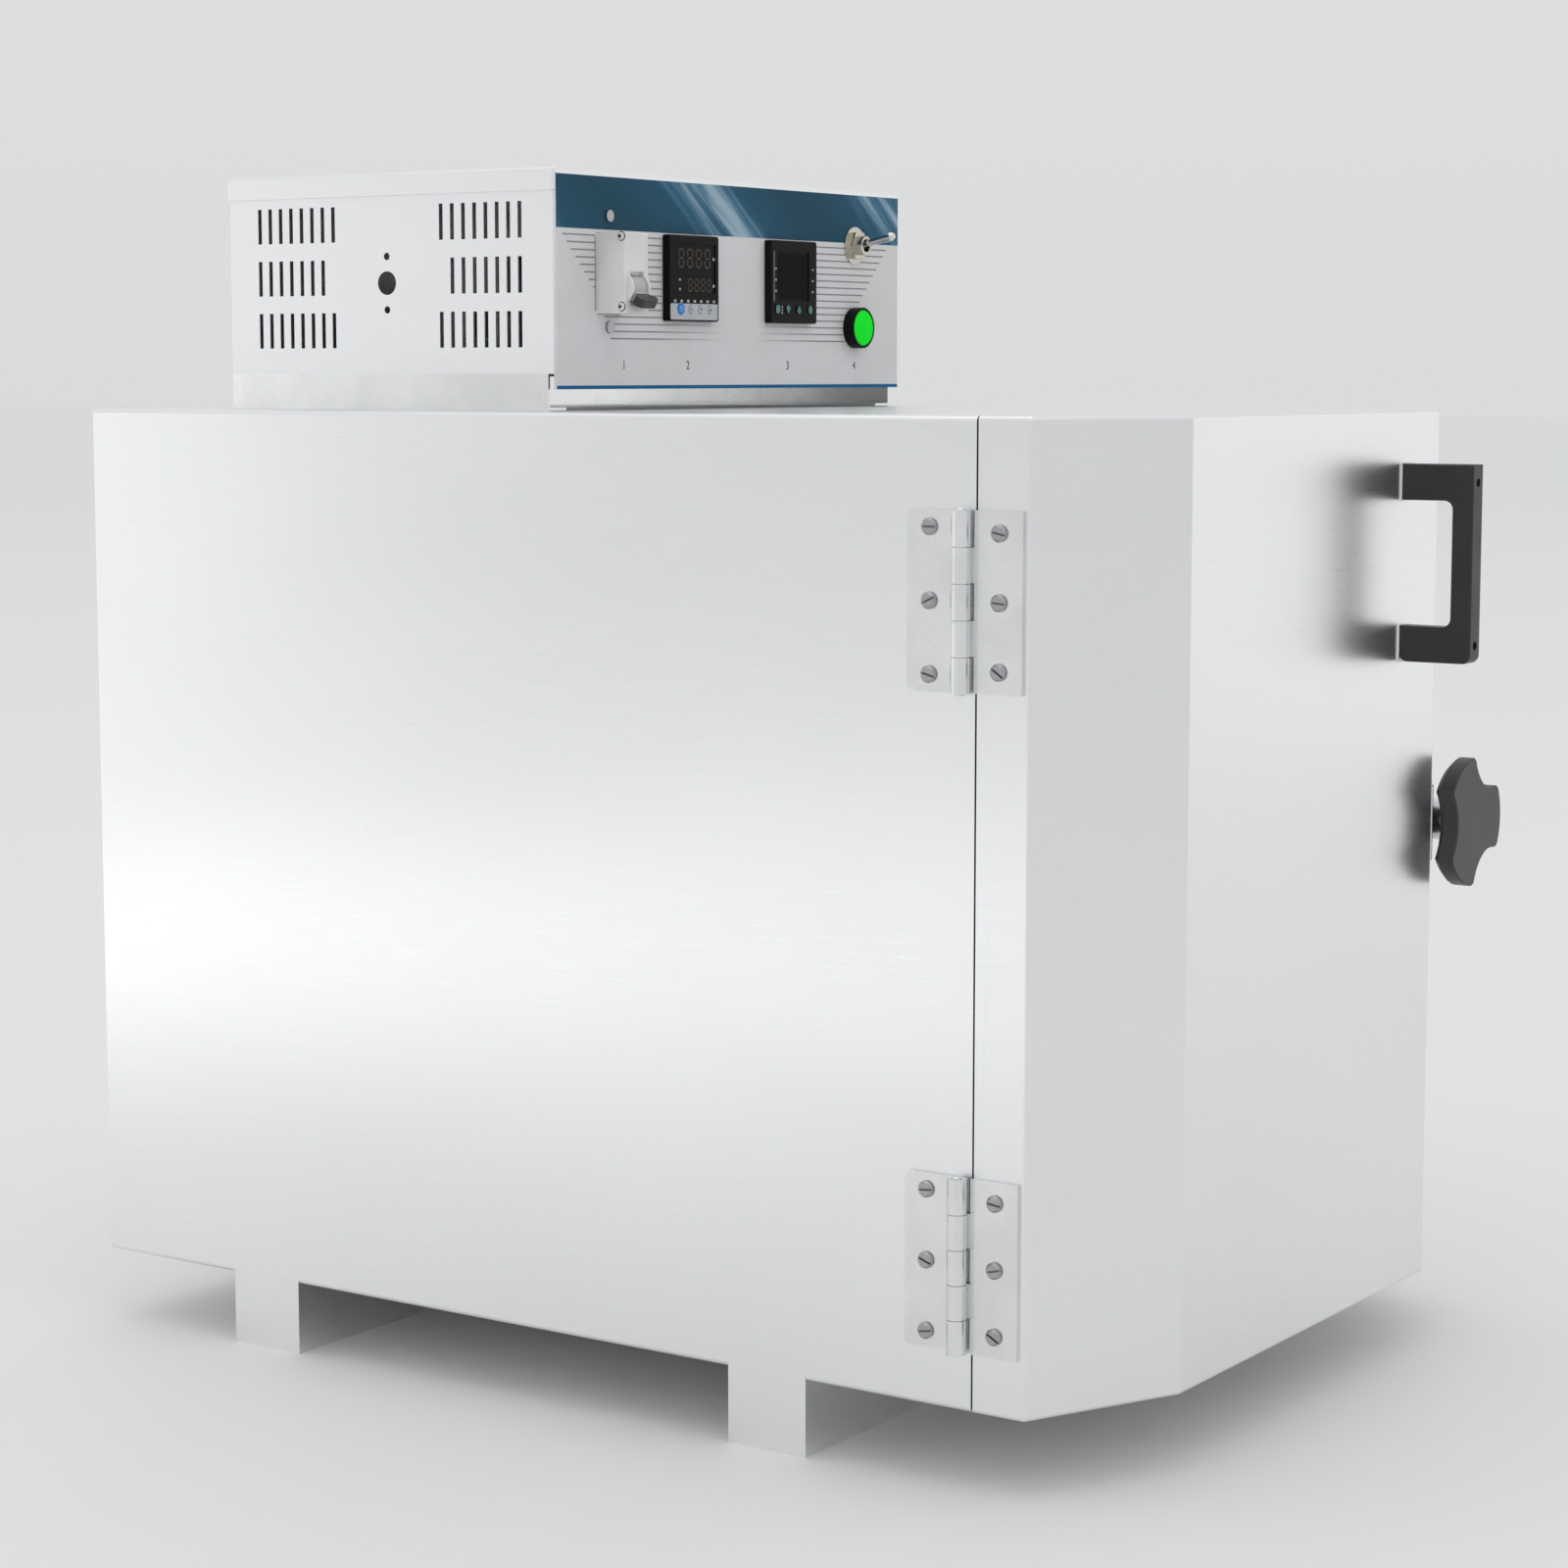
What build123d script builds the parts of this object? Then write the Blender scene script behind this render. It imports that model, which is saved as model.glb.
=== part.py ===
from build123d import *
import os
from math import atan2, cos, degrees, radians, sin

os.makedirs("parts", exist_ok=True)

# A front-loading laboratory muffle furnace with its control box on the roof.
# Millimetres. +Z is up, the door faces -Y and hangs on the -X side.
# The origin is the centre of the whole object's footprint, at the feet.

# ---------------------------------------------------------------- driving sizes
# Cabinet
cabinet_width = 474.0
cabinet_height = 500.0
cabinet_depth = 599.0
sheet = 1.5                     # folded stainless sheet
bend_radius = 3.0               # outside radius of a folded edge
lip = 18.0                      # casing's inward lips, front and back
foot_height = 41.0
foot_width = 49.0
front_foot_inset = 100.0        # cabinet front to the front foot
rear_foot_inset = 99.5          # cabinet back to the rear foot

# Door
seam_gap = 1.0
door_rim = 30.0                 # straight side strip
chamfer_run = 87.0
chamfer_drop = 42.0
inner_pan_inset = 6.0           # back plate sits this far inside the rim
door_edge_round = 2.4
wool_ease = 0.5                 # door's insulation inside its shell
gasket_width = 22.0
gasket_gap = 0.3
gasket_bevel = 1.5

# Chamber and insulation
chamber_width = 200.0
chamber_height = 200.0
chamber_depth = 350.0
chamber_radius = 16.0
muffle_wall = 12.0
collar_height = 6.0             # end collars stand proud of the wound length
collar_length = 16.0
mouth_reveal = 6.0              # ceramic rim seen inside the metal mouth
mouth_radius = 12.0
frame_plate = 2.0
insulation_behind = 120.0
plug_reach = 32.0               # plug past the cabinet's front plane
plug_clearance = 4.0            # plug to chamber wall, each side
plug_taper = 3.0                # narrower by this much at its tip, each side

# Heating ribbon
ribbon_width = 7.0
ribbon_thickness = 2.0
ribbon_turns = 7
ribbon_break = 10.0             # gap in each turn, bridged to the next turn
terminal_spacing = 60.0
terminal_radius = 8.0
terminal_neck = 5.5
terminal_length = 26.0
bead_length = 9.0               # each of the bead's two steps
lead_radius = 1.5
lead_gap = 0.6                  # leads hang this far below the turns

# Thermocouple
probe_radius = 4.0
probe_reach = 45.0              # into the chamber
probe_drop = 30.0               # below the chamber's ceiling
probe_head_radius = 18.0
probe_head_length = 34.0
probe_bevel = 2.0
probe_head_bevel = 3.0

# Hinges
hinge_height = 90.0
lower_hinge_base = 31.0         # above the cabinet's underside
upper_hinge_drop = 46.0         # below the cabinet's roof
leaf_reach = 33.0               # pin to the leaf's outer edge
leaf_thickness = 2.0
leaf_corner = 4.0
leaf_relief = 0.3               # tongues stay this far off the cabinet
knuckle_radius = 5.1
knuckle_count = 5
knuckle_gap = 0.3
pin_radius = 2.6
pin_fit = 0.05                  # running clearance in the moving knuckles
pin_end = 1.0
pin_bevel = 0.5
pin_set_back = 5.5              # pin behind the cabinet's front plane
leaf_screw_offset = 20.0        # pin to the screw column
cabinet_screw_pitch = 36.5
door_screw_pitch = 34.0
# Slots of the screws in each leaf, in degrees, from the lower hinge's lowest screw up.
cabinet_slot_angles = (10.0, -20.0, 5.0, -15.0, 25.0, 0.0)
door_slot_angles = (-30.0, 15.0, -8.0, -35.0, -5.0, -12.0)
screw_head_radius = 4.35
screw_head_height = 2.2
screw_head_bevel = 1.1
screw_radius = 2.0
screw_fit = 0.1
hole_fit = 0.1                  # a bushing, barrel, gland or tube in its hole
screw_slot = 1.1
screw_slot_depth = 1.1
screw_length = 8.0

# Handle
handle_width = 13.5
handle_height = 110.0
handle_reach = 42.7
handle_leg = 20.0
handle_grip = 12.3
handle_corner = 5.0
handle_inner_radius = 5.0
handle_bevel = 0.8
handle_middle_height = 415.4    # above the cabinet's underside
handle_edge_distance = 130.5    # cabinet's right side to the handle's middle
handle_screw_radius = 2.5
handle_screw_depth = 4.4        # recess over each screw's head

# Latch
latch_edge_distance = 64.0      # cabinet's right side to the shaft
latch_height = 263.5            # above the cabinet's underside
knob_radius = 37.3
knob_lobes = 3
knob_valley_distance = 50.7     # knob's axis to the centre of each valley
knob_valley_radius = 26.2
knob_corner = 3.8
knob_thickness = 12.3
knob_back_bevel = 3.4
knob_front_bevel = 0.8
knob_stand_off = 28.5           # knob's face in front of the chamfer, at the shaft
knob_socket = 8.0
latch_shaft_radius = 6.0
latch_fit = 0.06
latch_gap = 0.4                 # axial gap of the turning parts
bearing_collar_radius = 12.0
bearing_tube_radius = 9.0
escutcheon_height = 46.0
escutcheon_width = 40.0
escutcheon_thickness = 1.2
escutcheon_bevel = 0.4
pawl_length = 30.0
pawl_width = 11.0
pawl_thickness = 4.0
pawl_clearance = 1.8            # pawl to the slot in the frame
pawl_play = 0.6                 # pawl behind the keeper plate
keeper_thickness = 2.0
keeper_margin = 12.0
tang = 7.0                      # square end of the shaft
latch_nut = 3.5

# Control box
box_width = 350.0
box_depth = 240.0
box_height = 111.0
box_rear_gap = 53.0             # box back to cabinet back
rail_height = 20.0
rail_flange = 16.0
rail_inset = 4.0                # rails start behind the housing's front edge
lid_clearance = 0.2
lid_flange = 11.0
lid_front_lip = 3.5
panel_thickness = 2.0
panel_height = 117.5
panel_drop = 8.5                # panel below the housing's floor
box_lip = 12.0
vent_width = 2.7
vent_length = 20.0
vent_pitch = 8.0
vent_row_pitch = 30.0
vent_columns = 8
vent_rows = 3
vent_group_offset = 67.8        # port to each group's middle
vent_middle_height = 54.5       # above the housing's floor
port_height = 51.0              # above the housing's floor
port_radius = 6.65
port_screw_pitch = 30.0
port_screw_radius = 2.1

# Panel parts, placed from the panel's middle and the cabinet roof
breaker_offset = -127.0
breaker_height_up = 75.5
breaker_width = 22.0
breaker_nose_height = 44.6
breaker_nose_reach = 19.5
breaker_body_height = 82.0
breaker_body_depth = 44.0
breaker_body_gap = 2.0
breaker_pivot_drop = 8.4
breaker_pivot_depth = 5.6
breaker_drum_radius = 7.8
breaker_drum_width = 12.4
breaker_fit = 0.3
breaker_window = (18.4, 2.6)    # height and depth of the shallow opening round the lever
breaker_bevel = 0.6
breaker_rest_angle = 32.0
lever_reach = 17.0
lever_shoulder = 10.8           # pivot to where the lever widens
lever_thickness = 5.0
lever_flare = 1.25
lever_neck = 11.0
lever_width = 17.6
lever_tip = 12.0
panel_screws_height_up = 76.7
panel_screw_pitch = 61.6
panel_screw_radius = 3.3
panel_screw_height = 1.4

instrument_offset = 51.5
instrument_height_up = 74.4
instrument_size = 49.0
instrument_reach = 5.0
instrument_body = 44.8
instrument_depth = 68.0
instrument_corner = 1.5
instrument_window_depth = 0.6
bezel_bevel = 0.6
key_travel = 0.5                # also how far a key stands out of its bezel
key_length = 2.6
key_fit = 0.15

toggle_offset = 125.0
toggle_height_up = 98.2
toggle_bushing_radius = 5.8
toggle_bushing_reach = 9.0
toggle_bore_radius = 4.0
toggle_trunnion_radius = 3.2
toggle_trunnion_length = 4.4
toggle_pivot_reach = 3.5
toggle_washer_radius = 11.5
toggle_washer_thickness = 0.9
toggle_nut_size = 16.0
toggle_nut_thickness = 3.4
toggle_body = (14.0, 24.0, 27.0)
toggle_tilt = 12.5
toggle_stem_radius = 1.7
toggle_tip_radius = 2.7
toggle_length = 24.0
toggle_tip_bevel = (1.1, 2.2)   # across and along the stem

button_height_up = 48.0
button_radius = 12.45
button_reach = 7.4
button_cap_radius = 10.9
button_cap_thickness = 3.8
button_fit = 0.25
button_travel = 3.0
button_barrel_radius = 11.0
button_barrel_length = 16.0
button_stem_radius = 4.0
button_cap_bevel = 0.6
contact_block = (24.0, 22.0, 30.0)
contact_block_bevel = 1.5

panel_fit = 0.3

# Inside the control box and on the back
relay_size = (45.0, 58.0, 23.0)
relay_base = (60.0, 74.0, 20.0)
relay_offset = (10.0, 40.0)
relay_channels = 5              # open channels along the heat sink's underside
relay_channel = (6.0, 15.5)     # width and height
relay_post_pitch = (27.0, 43.5)
relay_post_recess = (13.5, 11.5, 11.5)
terminal_pitch = 10.0
terminal_ways = 6
terminal_block_size = (22.0, 18.0)
terminal_block_offset = (-60.0, 20.0)
terminal_recess = (6.0, 6.0)    # side and depth of each clamp's square well
bracket_thickness = 2.0
bracket_foot = 20.0
din_width = 35.0
din_brim = 5.0
din_height = 7.5
din_length = 60.0
gland_radius = 11.0
gland_hex = 27.0
gland_bore = 5.5
gland_nut = 8.0
gland_dome = 16.0
gland_dome_bevel = 3.0
gland_lock_nut = 6.0
gland_offset = 110.0
gland_height = 30.0             # above the housing's floor
conduit_radius = 12.0
conduit_wall = 2.0
conduit_offset = -70.0
conduit_rear = 40.0
conduit_brim = 4.0
back_screw_radius = 4.0
back_screw_height = 1.8
back_screw_edge = 9.0
back_vent_count = 12
back_vent_pitch = 12.0
back_vent_length = 40.0
back_vent_width = 5.0
back_vent_drop = 60.0

# ---------------------------------------------------------------- datum planes
knuckle_stand = knuckle_radius + leaf_relief
middle_x = (knuckle_stand + knuckle_radius) / 2
left_x = middle_x - cabinet_width / 2
right_x = middle_x + cabinet_width / 2
base_z = foot_height
roof_z = base_z + cabinet_height

total_depth = (handle_reach + chamfer_drop + door_rim + seam_gap
               + cabinet_depth + back_screw_height)
door_front_y = -total_depth / 2 + handle_reach
door_shoulder_y = door_front_y + chamfer_drop
door_rear_y = door_shoulder_y + door_rim
front_y = door_rear_y + seam_gap
rear_y = front_y + cabinet_depth

inner_right = right_x - sheet
inner_width = cabinet_width - 2 * sheet
inner_height = cabinet_height - 2 * sheet
inner_base = base_z + sheet
inner_roof = roof_z - sheet

frame_y = front_y + sheet
muffle_y = frame_y + frame_plate
muffle_rear_y = muffle_y + chamber_depth + muffle_wall
insulation_rear_y = muffle_rear_y + insulation_behind
chamber_z = (base_z + roof_z) / 2
muffle_outer_width = chamber_width + 2 * (muffle_wall + collar_height)
muffle_outer_height = chamber_height + 2 * (muffle_wall + collar_height)

pin_x = left_x - knuckle_stand
pin_y = front_y + pin_set_back
hinge_bases = (base_z + lower_hinge_base, roof_z - upper_hinge_drop - hinge_height)
knuckle_length = hinge_height / knuckle_count

latch_x = right_x - latch_edge_distance
latch_z = base_z + latch_height
chamfer_angle = degrees(atan2(chamfer_drop, chamfer_run))
latch_surface_y = door_shoulder_y - (right_x - latch_x) * chamfer_drop / chamfer_run
knob_face_y = latch_surface_y - knob_stand_off
knob_back_y = knob_face_y + knob_thickness
pawl_front_y = muffle_y + keeper_thickness + pawl_play
pan_y = door_rear_y - inner_pan_inset

floor_z = roof_z + rail_height
box_top_z = floor_z + box_height
box_rear_y = rear_y - box_rear_gap
panel_y = box_rear_y - box_depth
housing_front_y = panel_y + panel_thickness
box_left = middle_x - box_width / 2
panel_bottom_z = floor_z - panel_drop
port_y = (housing_front_y + box_rear_y) / 2


def level(z):
    """The horizontal plane at height z."""
    return Plane.XY.offset(z)


def facing_front(y, x=0.0, z=0.0):
    """A vertical plane at depth y whose normal points to the front, x to the right and y up."""
    return Plane(origin=(x, y, z), x_dir=(1, 0, 0), z_dir=(0, -1, 0))


def facing_left(x, y=0.0, z=0.0):
    """A vertical plane at x whose normal points to the left, with its own x to the front."""
    return Plane(origin=(x, y, z), x_dir=(0, -1, 0), z_dir=(-1, 0, 0))


def facing_back(y, x=0.0, z=0.0):
    """A vertical plane at depth y whose normal points to the back."""
    return Plane(origin=(x, y, z), x_dir=(-1, 0, 0), z_dir=(0, 1, 0))


def leaf_screw_heights(pitch):
    """Heights of the three screws in a leaf of each hinge, from the lowest up."""
    return [z + hinge_height / 2 + row * pitch for z in hinge_bases for row in (-1, 0, 1)]


# ---------------------------------------------------------------- casing
cabinet_screw_heights = leaf_screw_heights(cabinet_screw_pitch)
foot_starts = (front_y + front_foot_inset, rear_y - rear_foot_inset - foot_width)

conduit_x = middle_x + conduit_offset
conduit_y = box_rear_y - conduit_rear

# Wrapped sheet: roof, floor and sides, with lips at both ends and a tab at each foot.
with BuildPart() as outer_casing:
    with BuildSketch(facing_front(rear_y, middle_x, chamber_z)):
        RectangleRounded(cabinet_width, cabinet_height, bend_radius)
    extrude(amount=cabinet_depth)
    with BuildSketch(facing_front(rear_y, middle_x, chamber_z)):
        Rectangle(inner_width - 2 * lip, inner_height - 2 * lip)
    extrude(amount=cabinet_depth, mode=Mode.SUBTRACT)
    with BuildSketch(facing_front(rear_y - 2 * sheet, middle_x, chamber_z)):
        RectangleRounded(inner_width, inner_height, bend_radius - sheet)
    extrude(amount=cabinet_depth - 3 * sheet, mode=Mode.SUBTRACT)
    with BuildSketch(facing_front(rear_y, middle_x, chamber_z)):
        RectangleRounded(inner_width, inner_height, bend_radius - sheet)
    extrude(amount=sheet, mode=Mode.SUBTRACT)
    for start in foot_starts:
        with BuildSketch(level(0)):
            for side_x in (left_x + sheet / 2, right_x - sheet / 2):
                with Locations((side_x, start + foot_width / 2)):
                    Rectangle(sheet, foot_width)
        extrude(amount=base_z + bend_radius)
    with BuildSketch(facing_left(left_x)):
        for z in cabinet_screw_heights:
            with Locations((-pin_y - leaf_screw_offset, z)):
                Circle(screw_radius + screw_fit)
    extrude(amount=-sheet, mode=Mode.SUBTRACT)
    with BuildSketch(level(roof_z)):
        with Locations((conduit_x, conduit_y)):
            Circle(conduit_radius + hole_fit)
    extrude(amount=-sheet, mode=Mode.SUBTRACT)
outer_casing.part.label = "outer_casing"
export_step(outer_casing.part, "parts/outer_casing.step")

# Folded channels between the foot tabs, open upwards against the cabinet's floor.
with BuildPart() as skids:
    for start in foot_starts:
        with BuildSketch(facing_left(inner_right, start + foot_width / 2, 0)):
            with BuildLine():
                Polyline(
                    (-foot_width / 2, foot_height),
                    (-foot_width / 2, 0),
                    (foot_width / 2, 0),
                    (foot_width / 2, foot_height),
                    (foot_width / 2 - sheet, foot_height),
                    (foot_width / 2 - sheet, sheet),
                    (-foot_width / 2 + sheet, sheet),
                    (-foot_width / 2 + sheet, foot_height),
                    close=True,
                )
            make_face()
        extrude(amount=inner_width)
skids.part.label = "skids"
export_step(skids.part, "parts/skids.step")

# Front frame: the plate round the chamber's mouth, with the latch's upright slot.
slot_width = pawl_width + 2 * pawl_clearance
slot_low = latch_z - pawl_width / 2 - pawl_clearance
slot_high = latch_z + pawl_length + pawl_clearance
with BuildPart() as front_frame:
    with BuildSketch(facing_front(muffle_y, middle_x, chamber_z)):
        RectangleRounded(inner_width, inner_height, bend_radius - sheet)
        RectangleRounded(
            chamber_width + 2 * mouth_reveal,
            chamber_height + 2 * mouth_reveal,
            mouth_radius,
            mode=Mode.SUBTRACT,
        )
        with Locations((latch_x - middle_x, (slot_low + slot_high) / 2 - chamber_z)):
            Rectangle(slot_width, slot_high - slot_low, mode=Mode.SUBTRACT)
    extrude(amount=frame_plate)
front_frame.part.label = "front_frame"
export_step(front_frame.part, "parts/front_frame.step")

# Keeper: a doubling plate behind the frame that the pawl bears on.
with BuildPart() as latch_keeper:
    with BuildSketch(facing_back(muffle_y, latch_x, (slot_low + slot_high) / 2)):
        Rectangle(slot_width + 2 * keeper_margin, slot_high - slot_low + 2 * keeper_margin)
        Rectangle(slot_width, slot_high - slot_low, mode=Mode.SUBTRACT)
    extrude(amount=keeper_thickness)
    fillet(latch_keeper.edges().filter_by(Axis.Y).group_by(Axis.X)[0], keeper_thickness)
latch_keeper.part.label = "latch_keeper"
export_step(latch_keeper.part, "parts/latch_keeper.step")

# Back cover: a flat plate let into the casing's rear edge, with a row of vents.
back_screw_x = inner_width / 2 - back_screw_edge
back_screw_z = inner_height / 2 - back_screw_edge
back_screw_places = [
    (side * back_screw_x, row * back_screw_z) for side in (-1, 0, 1) for row in (-1, 1)
] + [(side * back_screw_x, 0) for side in (-1, 1)]
with BuildPart() as back_cover:
    with BuildSketch(facing_back(rear_y - sheet, middle_x, chamber_z)):
        RectangleRounded(inner_width, inner_height, bend_radius - sheet)
        for row in (-1, 1):
            with Locations((0, row * (inner_height / 2 - back_vent_drop))):
                with GridLocations(back_vent_pitch, 0, back_vent_count, 1):
                    Rectangle(back_vent_width, back_vent_length, mode=Mode.SUBTRACT)
        with Locations(*back_screw_places):
            Circle(screw_radius + screw_fit, mode=Mode.SUBTRACT)
    extrude(amount=sheet)
back_cover.part.label = "back_cover"
export_step(back_cover.part, "parts/back_cover.step")

with BuildPart() as back_cover_screws:
    with BuildSketch(facing_back(rear_y, middle_x, chamber_z)):
        with Locations(*back_screw_places):
            Circle(back_screw_radius)
    extrude(amount=back_screw_height)
    with BuildSketch(facing_back(rear_y, middle_x, chamber_z)):
        with Locations(*back_screw_places):
            Circle(screw_radius)
    extrude(amount=-sheet)
back_cover_screws.part.label = "back_cover_screws"
export_step(back_cover_screws.part, "parts/back_cover_screws.step")

# ---------------------------------------------------------------- chamber
turn_width = chamber_width + 2 * muffle_wall
turn_height = chamber_height + 2 * muffle_wall
turn_radius = chamber_radius + muffle_wall
ribbon_bottom = chamber_z - turn_height / 2 - ribbon_thickness
terminal_z = ribbon_bottom - lead_gap - lead_radius
terminal_x = [middle_x + side * terminal_spacing / 2 for side in (-1, 1)]


def lead_holes():
    """The two holes that the element's leads run back through, on a plane at the chamber's middle."""
    with Locations(*[(side * terminal_spacing / 2, terminal_z - chamber_z) for side in (-1, 1)]):
        Circle(lead_radius + screw_fit, mode=Mode.SUBTRACT)


# Ceramic muffle: a box open at the front, with end collars that carry it in the insulation.
with BuildPart() as muffle_chamber:
    with BuildSketch(facing_front(muffle_rear_y, middle_x, chamber_z)):
        RectangleRounded(turn_width, turn_height, turn_radius)
    extrude(amount=chamber_depth + muffle_wall)
    for collar_y in (muffle_y + collar_length, muffle_rear_y):
        with BuildSketch(facing_front(collar_y, middle_x, chamber_z)):
            RectangleRounded(muffle_outer_width, muffle_outer_height, turn_radius + collar_height)
            if collar_y == muffle_rear_y:
                lead_holes()
        extrude(amount=collar_length)
    with BuildSketch(facing_front(muffle_rear_y - muffle_wall, middle_x, chamber_z)):
        RectangleRounded(chamber_width, chamber_height, chamber_radius)
    extrude(amount=chamber_depth, mode=Mode.SUBTRACT)
    with BuildSketch(facing_back(muffle_rear_y, middle_x, chamber_z)):
        with Locations((0, chamber_height / 2 - probe_drop)):
            Circle(probe_radius)
    extrude(amount=-muffle_wall, mode=Mode.SUBTRACT)
muffle_chamber.part.label = "muffle_chamber"
export_step(muffle_chamber.part, "parts/muffle_chamber.step")

# Heating ribbon: broken turns round the muffle, each bridged to the next underneath,
# with two round leads that run back to the terminals.
wound_length = chamber_depth + muffle_wall - 2 * collar_length
ribbon_pitch = wound_length / ribbon_turns
first_turn_y = muffle_y + collar_length + ribbon_pitch / 2
last_turn_y = first_turn_y + (ribbon_turns - 1) * ribbon_pitch
lead_y = insulation_rear_y + sheet
with BuildPart() as heating_ribbon:
    for turn in range(ribbon_turns):
        turn_y = first_turn_y + turn * ribbon_pitch
        with BuildSketch(facing_front(turn_y + ribbon_width / 2, middle_x, chamber_z)):
            RectangleRounded(
                turn_width + 2 * ribbon_thickness,
                turn_height + 2 * ribbon_thickness,
                turn_radius + ribbon_thickness,
            )
            RectangleRounded(turn_width, turn_height, turn_radius, mode=Mode.SUBTRACT)
            with Locations((0, -turn_height / 2)):
                Rectangle(ribbon_break, 3 * ribbon_thickness, mode=Mode.SUBTRACT)
        extrude(amount=ribbon_width)
    with BuildSketch(level(ribbon_bottom)):
        for turn in range(ribbon_turns - 1):
            turn_y = first_turn_y + turn * ribbon_pitch
            with BuildLine():
                Polyline(
                    (middle_x + ribbon_break / 2, turn_y - ribbon_width / 2),
                    (middle_x + ribbon_break / 2 + ribbon_width, turn_y - ribbon_width / 2),
                    (middle_x - ribbon_break / 2, turn_y + ribbon_pitch + ribbon_width / 2),
                    (middle_x - ribbon_break / 2 - ribbon_width, turn_y + ribbon_pitch + ribbon_width / 2),
                    close=True,
                )
            make_face()
    extrude(amount=ribbon_thickness)
    for x, start_y in zip(terminal_x, (first_turn_y, last_turn_y)):
        with BuildSketch(level(ribbon_bottom)):
            with Locations((x, start_y)):
                Circle(lead_radius)
        extrude(amount=terminal_z - ribbon_bottom)
        with BuildSketch(facing_back(start_y - lead_radius, x, terminal_z)):
            Circle(lead_radius)
        extrude(amount=lead_y + terminal_length - start_y + lead_radius)
heating_ribbon.part.label = "heating_ribbon"
export_step(heating_ribbon.part, "parts/heating_ribbon.step")

# Insulation: slabs below and above, a block each side, and one behind the muffle.
wool_width = inner_width
wool_core_height = muffle_outer_height
side_width = (wool_width - muffle_outer_width) / 2
pocket_reach = pawl_length + 2 * pawl_clearance + keeper_margin
pocket_depth = keeper_thickness + pawl_play + pawl_thickness + latch_nut + tang
slab_height = (inner_height - wool_core_height) / 2
with BuildPart() as insulation_slabs:
    with BuildSketch(facing_front(insulation_rear_y, middle_x, chamber_z)) as slab_ends:
        for side in (-1, 1):
            with Locations((0, side * (wool_core_height + slab_height) / 2)):
                Rectangle(wool_width, slab_height)
        corners = slab_ends.vertices().group_by(Axis.Y)
        fillet(corners[0] + corners[-1], bend_radius - sheet)
    extrude(amount=insulation_rear_y - muffle_y)
insulation_slabs.part.label = "insulation_slabs"
export_step(insulation_slabs.part, "parts/insulation_slabs.step")

with BuildPart() as insulation_sides:
    with BuildSketch(facing_front(insulation_rear_y, middle_x, chamber_z)):
        for side in (-1, 1):
            with Locations((side * (wool_width - side_width) / 2, 0)):
                Rectangle(side_width, wool_core_height)
    extrude(amount=insulation_rear_y - muffle_y)
    with BuildSketch(facing_back(muffle_y, latch_x, latch_z)):
        Rectangle(2 * pocket_reach, 2 * pocket_reach)
    extrude(amount=pocket_depth, mode=Mode.SUBTRACT)
insulation_sides.part.label = "insulation_sides"
export_step(insulation_sides.part, "parts/insulation_sides.step")

with BuildPart() as insulation_back:
    with BuildSketch(facing_front(insulation_rear_y, middle_x, chamber_z)):
        Rectangle(muffle_outer_width, wool_core_height)
        with Locations((0, chamber_height / 2 - probe_drop)):
            Circle(probe_radius, mode=Mode.SUBTRACT)
        lead_holes()
    extrude(amount=insulation_behind)
insulation_back.part.label = "insulation_back"
export_step(insulation_back.part, "parts/insulation_back.step")

# Retainer: the inner steel plate that holds the insulation in, ahead of the rear terminal space.
with BuildPart() as insulation_retainer:
    with BuildSketch(facing_back(insulation_rear_y, middle_x, chamber_z)):
        RectangleRounded(inner_width, inner_height, bend_radius - sheet)
        with Locations((0, chamber_height / 2 - probe_drop)):
            Circle(probe_radius, mode=Mode.SUBTRACT)
        lead_holes()
    extrude(amount=sheet)
insulation_retainer.part.label = "insulation_retainer"
export_step(insulation_retainer.part, "parts/insulation_retainer.step")

# Element terminals: ribbed ceramic beads on the leads behind the retainer.
with BuildPart() as element_terminals:
    for x in terminal_x:
        for start_y, radius in ((lead_y, terminal_radius), (lead_y + bead_length, terminal_neck)):
            with BuildSketch(facing_back(start_y, x, terminal_z)):
                Circle(radius)
                Circle(lead_radius + screw_fit, mode=Mode.SUBTRACT)
            extrude(amount=bead_length)
element_terminals.part.label = "element_terminals"
export_step(element_terminals.part, "parts/element_terminals.step")

# Thermocouple: a ceramic probe through the back wall, with its terminal head behind the retainer.
probe_z = chamber_z + chamber_height / 2 - probe_drop
probe_tip_y = muffle_rear_y - muffle_wall - probe_reach
with BuildPart() as thermocouple:
    with BuildSketch(facing_back(probe_tip_y, middle_x, probe_z)):
        Circle(probe_radius)
    extrude(amount=lead_y - probe_tip_y)
    chamfer(thermocouple.faces().sort_by(Axis.Y)[0].edges(), probe_bevel)
    with BuildSketch(facing_back(lead_y, middle_x, probe_z)):
        Circle(probe_head_radius)
    extrude(amount=probe_head_length)
    chamfer(thermocouple.faces().sort_by(Axis.Y)[-1].edges(), probe_head_bevel)
thermocouple.part.label = "thermocouple"
export_step(thermocouple.part, "parts/thermocouple.step")

# ---------------------------------------------------------------- hinges
cabinet_knuckles = [n for n in range(knuckle_count) if n % 2 == 0]
door_knuckles = [n for n in range(knuckle_count) if n % 2 == 1]
notch_reach = knuckle_radius + 2 * knuckle_gap


def knuckle_span(base, index):
    """Lower and upper ends of one knuckle, with half the axial gap at each end that meets another."""
    low = base + index * knuckle_length + (knuckle_gap / 2 if index else 0)
    high = base + (index + 1) * knuckle_length - (knuckle_gap / 2 if index < knuckle_count - 1 else 0)
    return low, high


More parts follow.
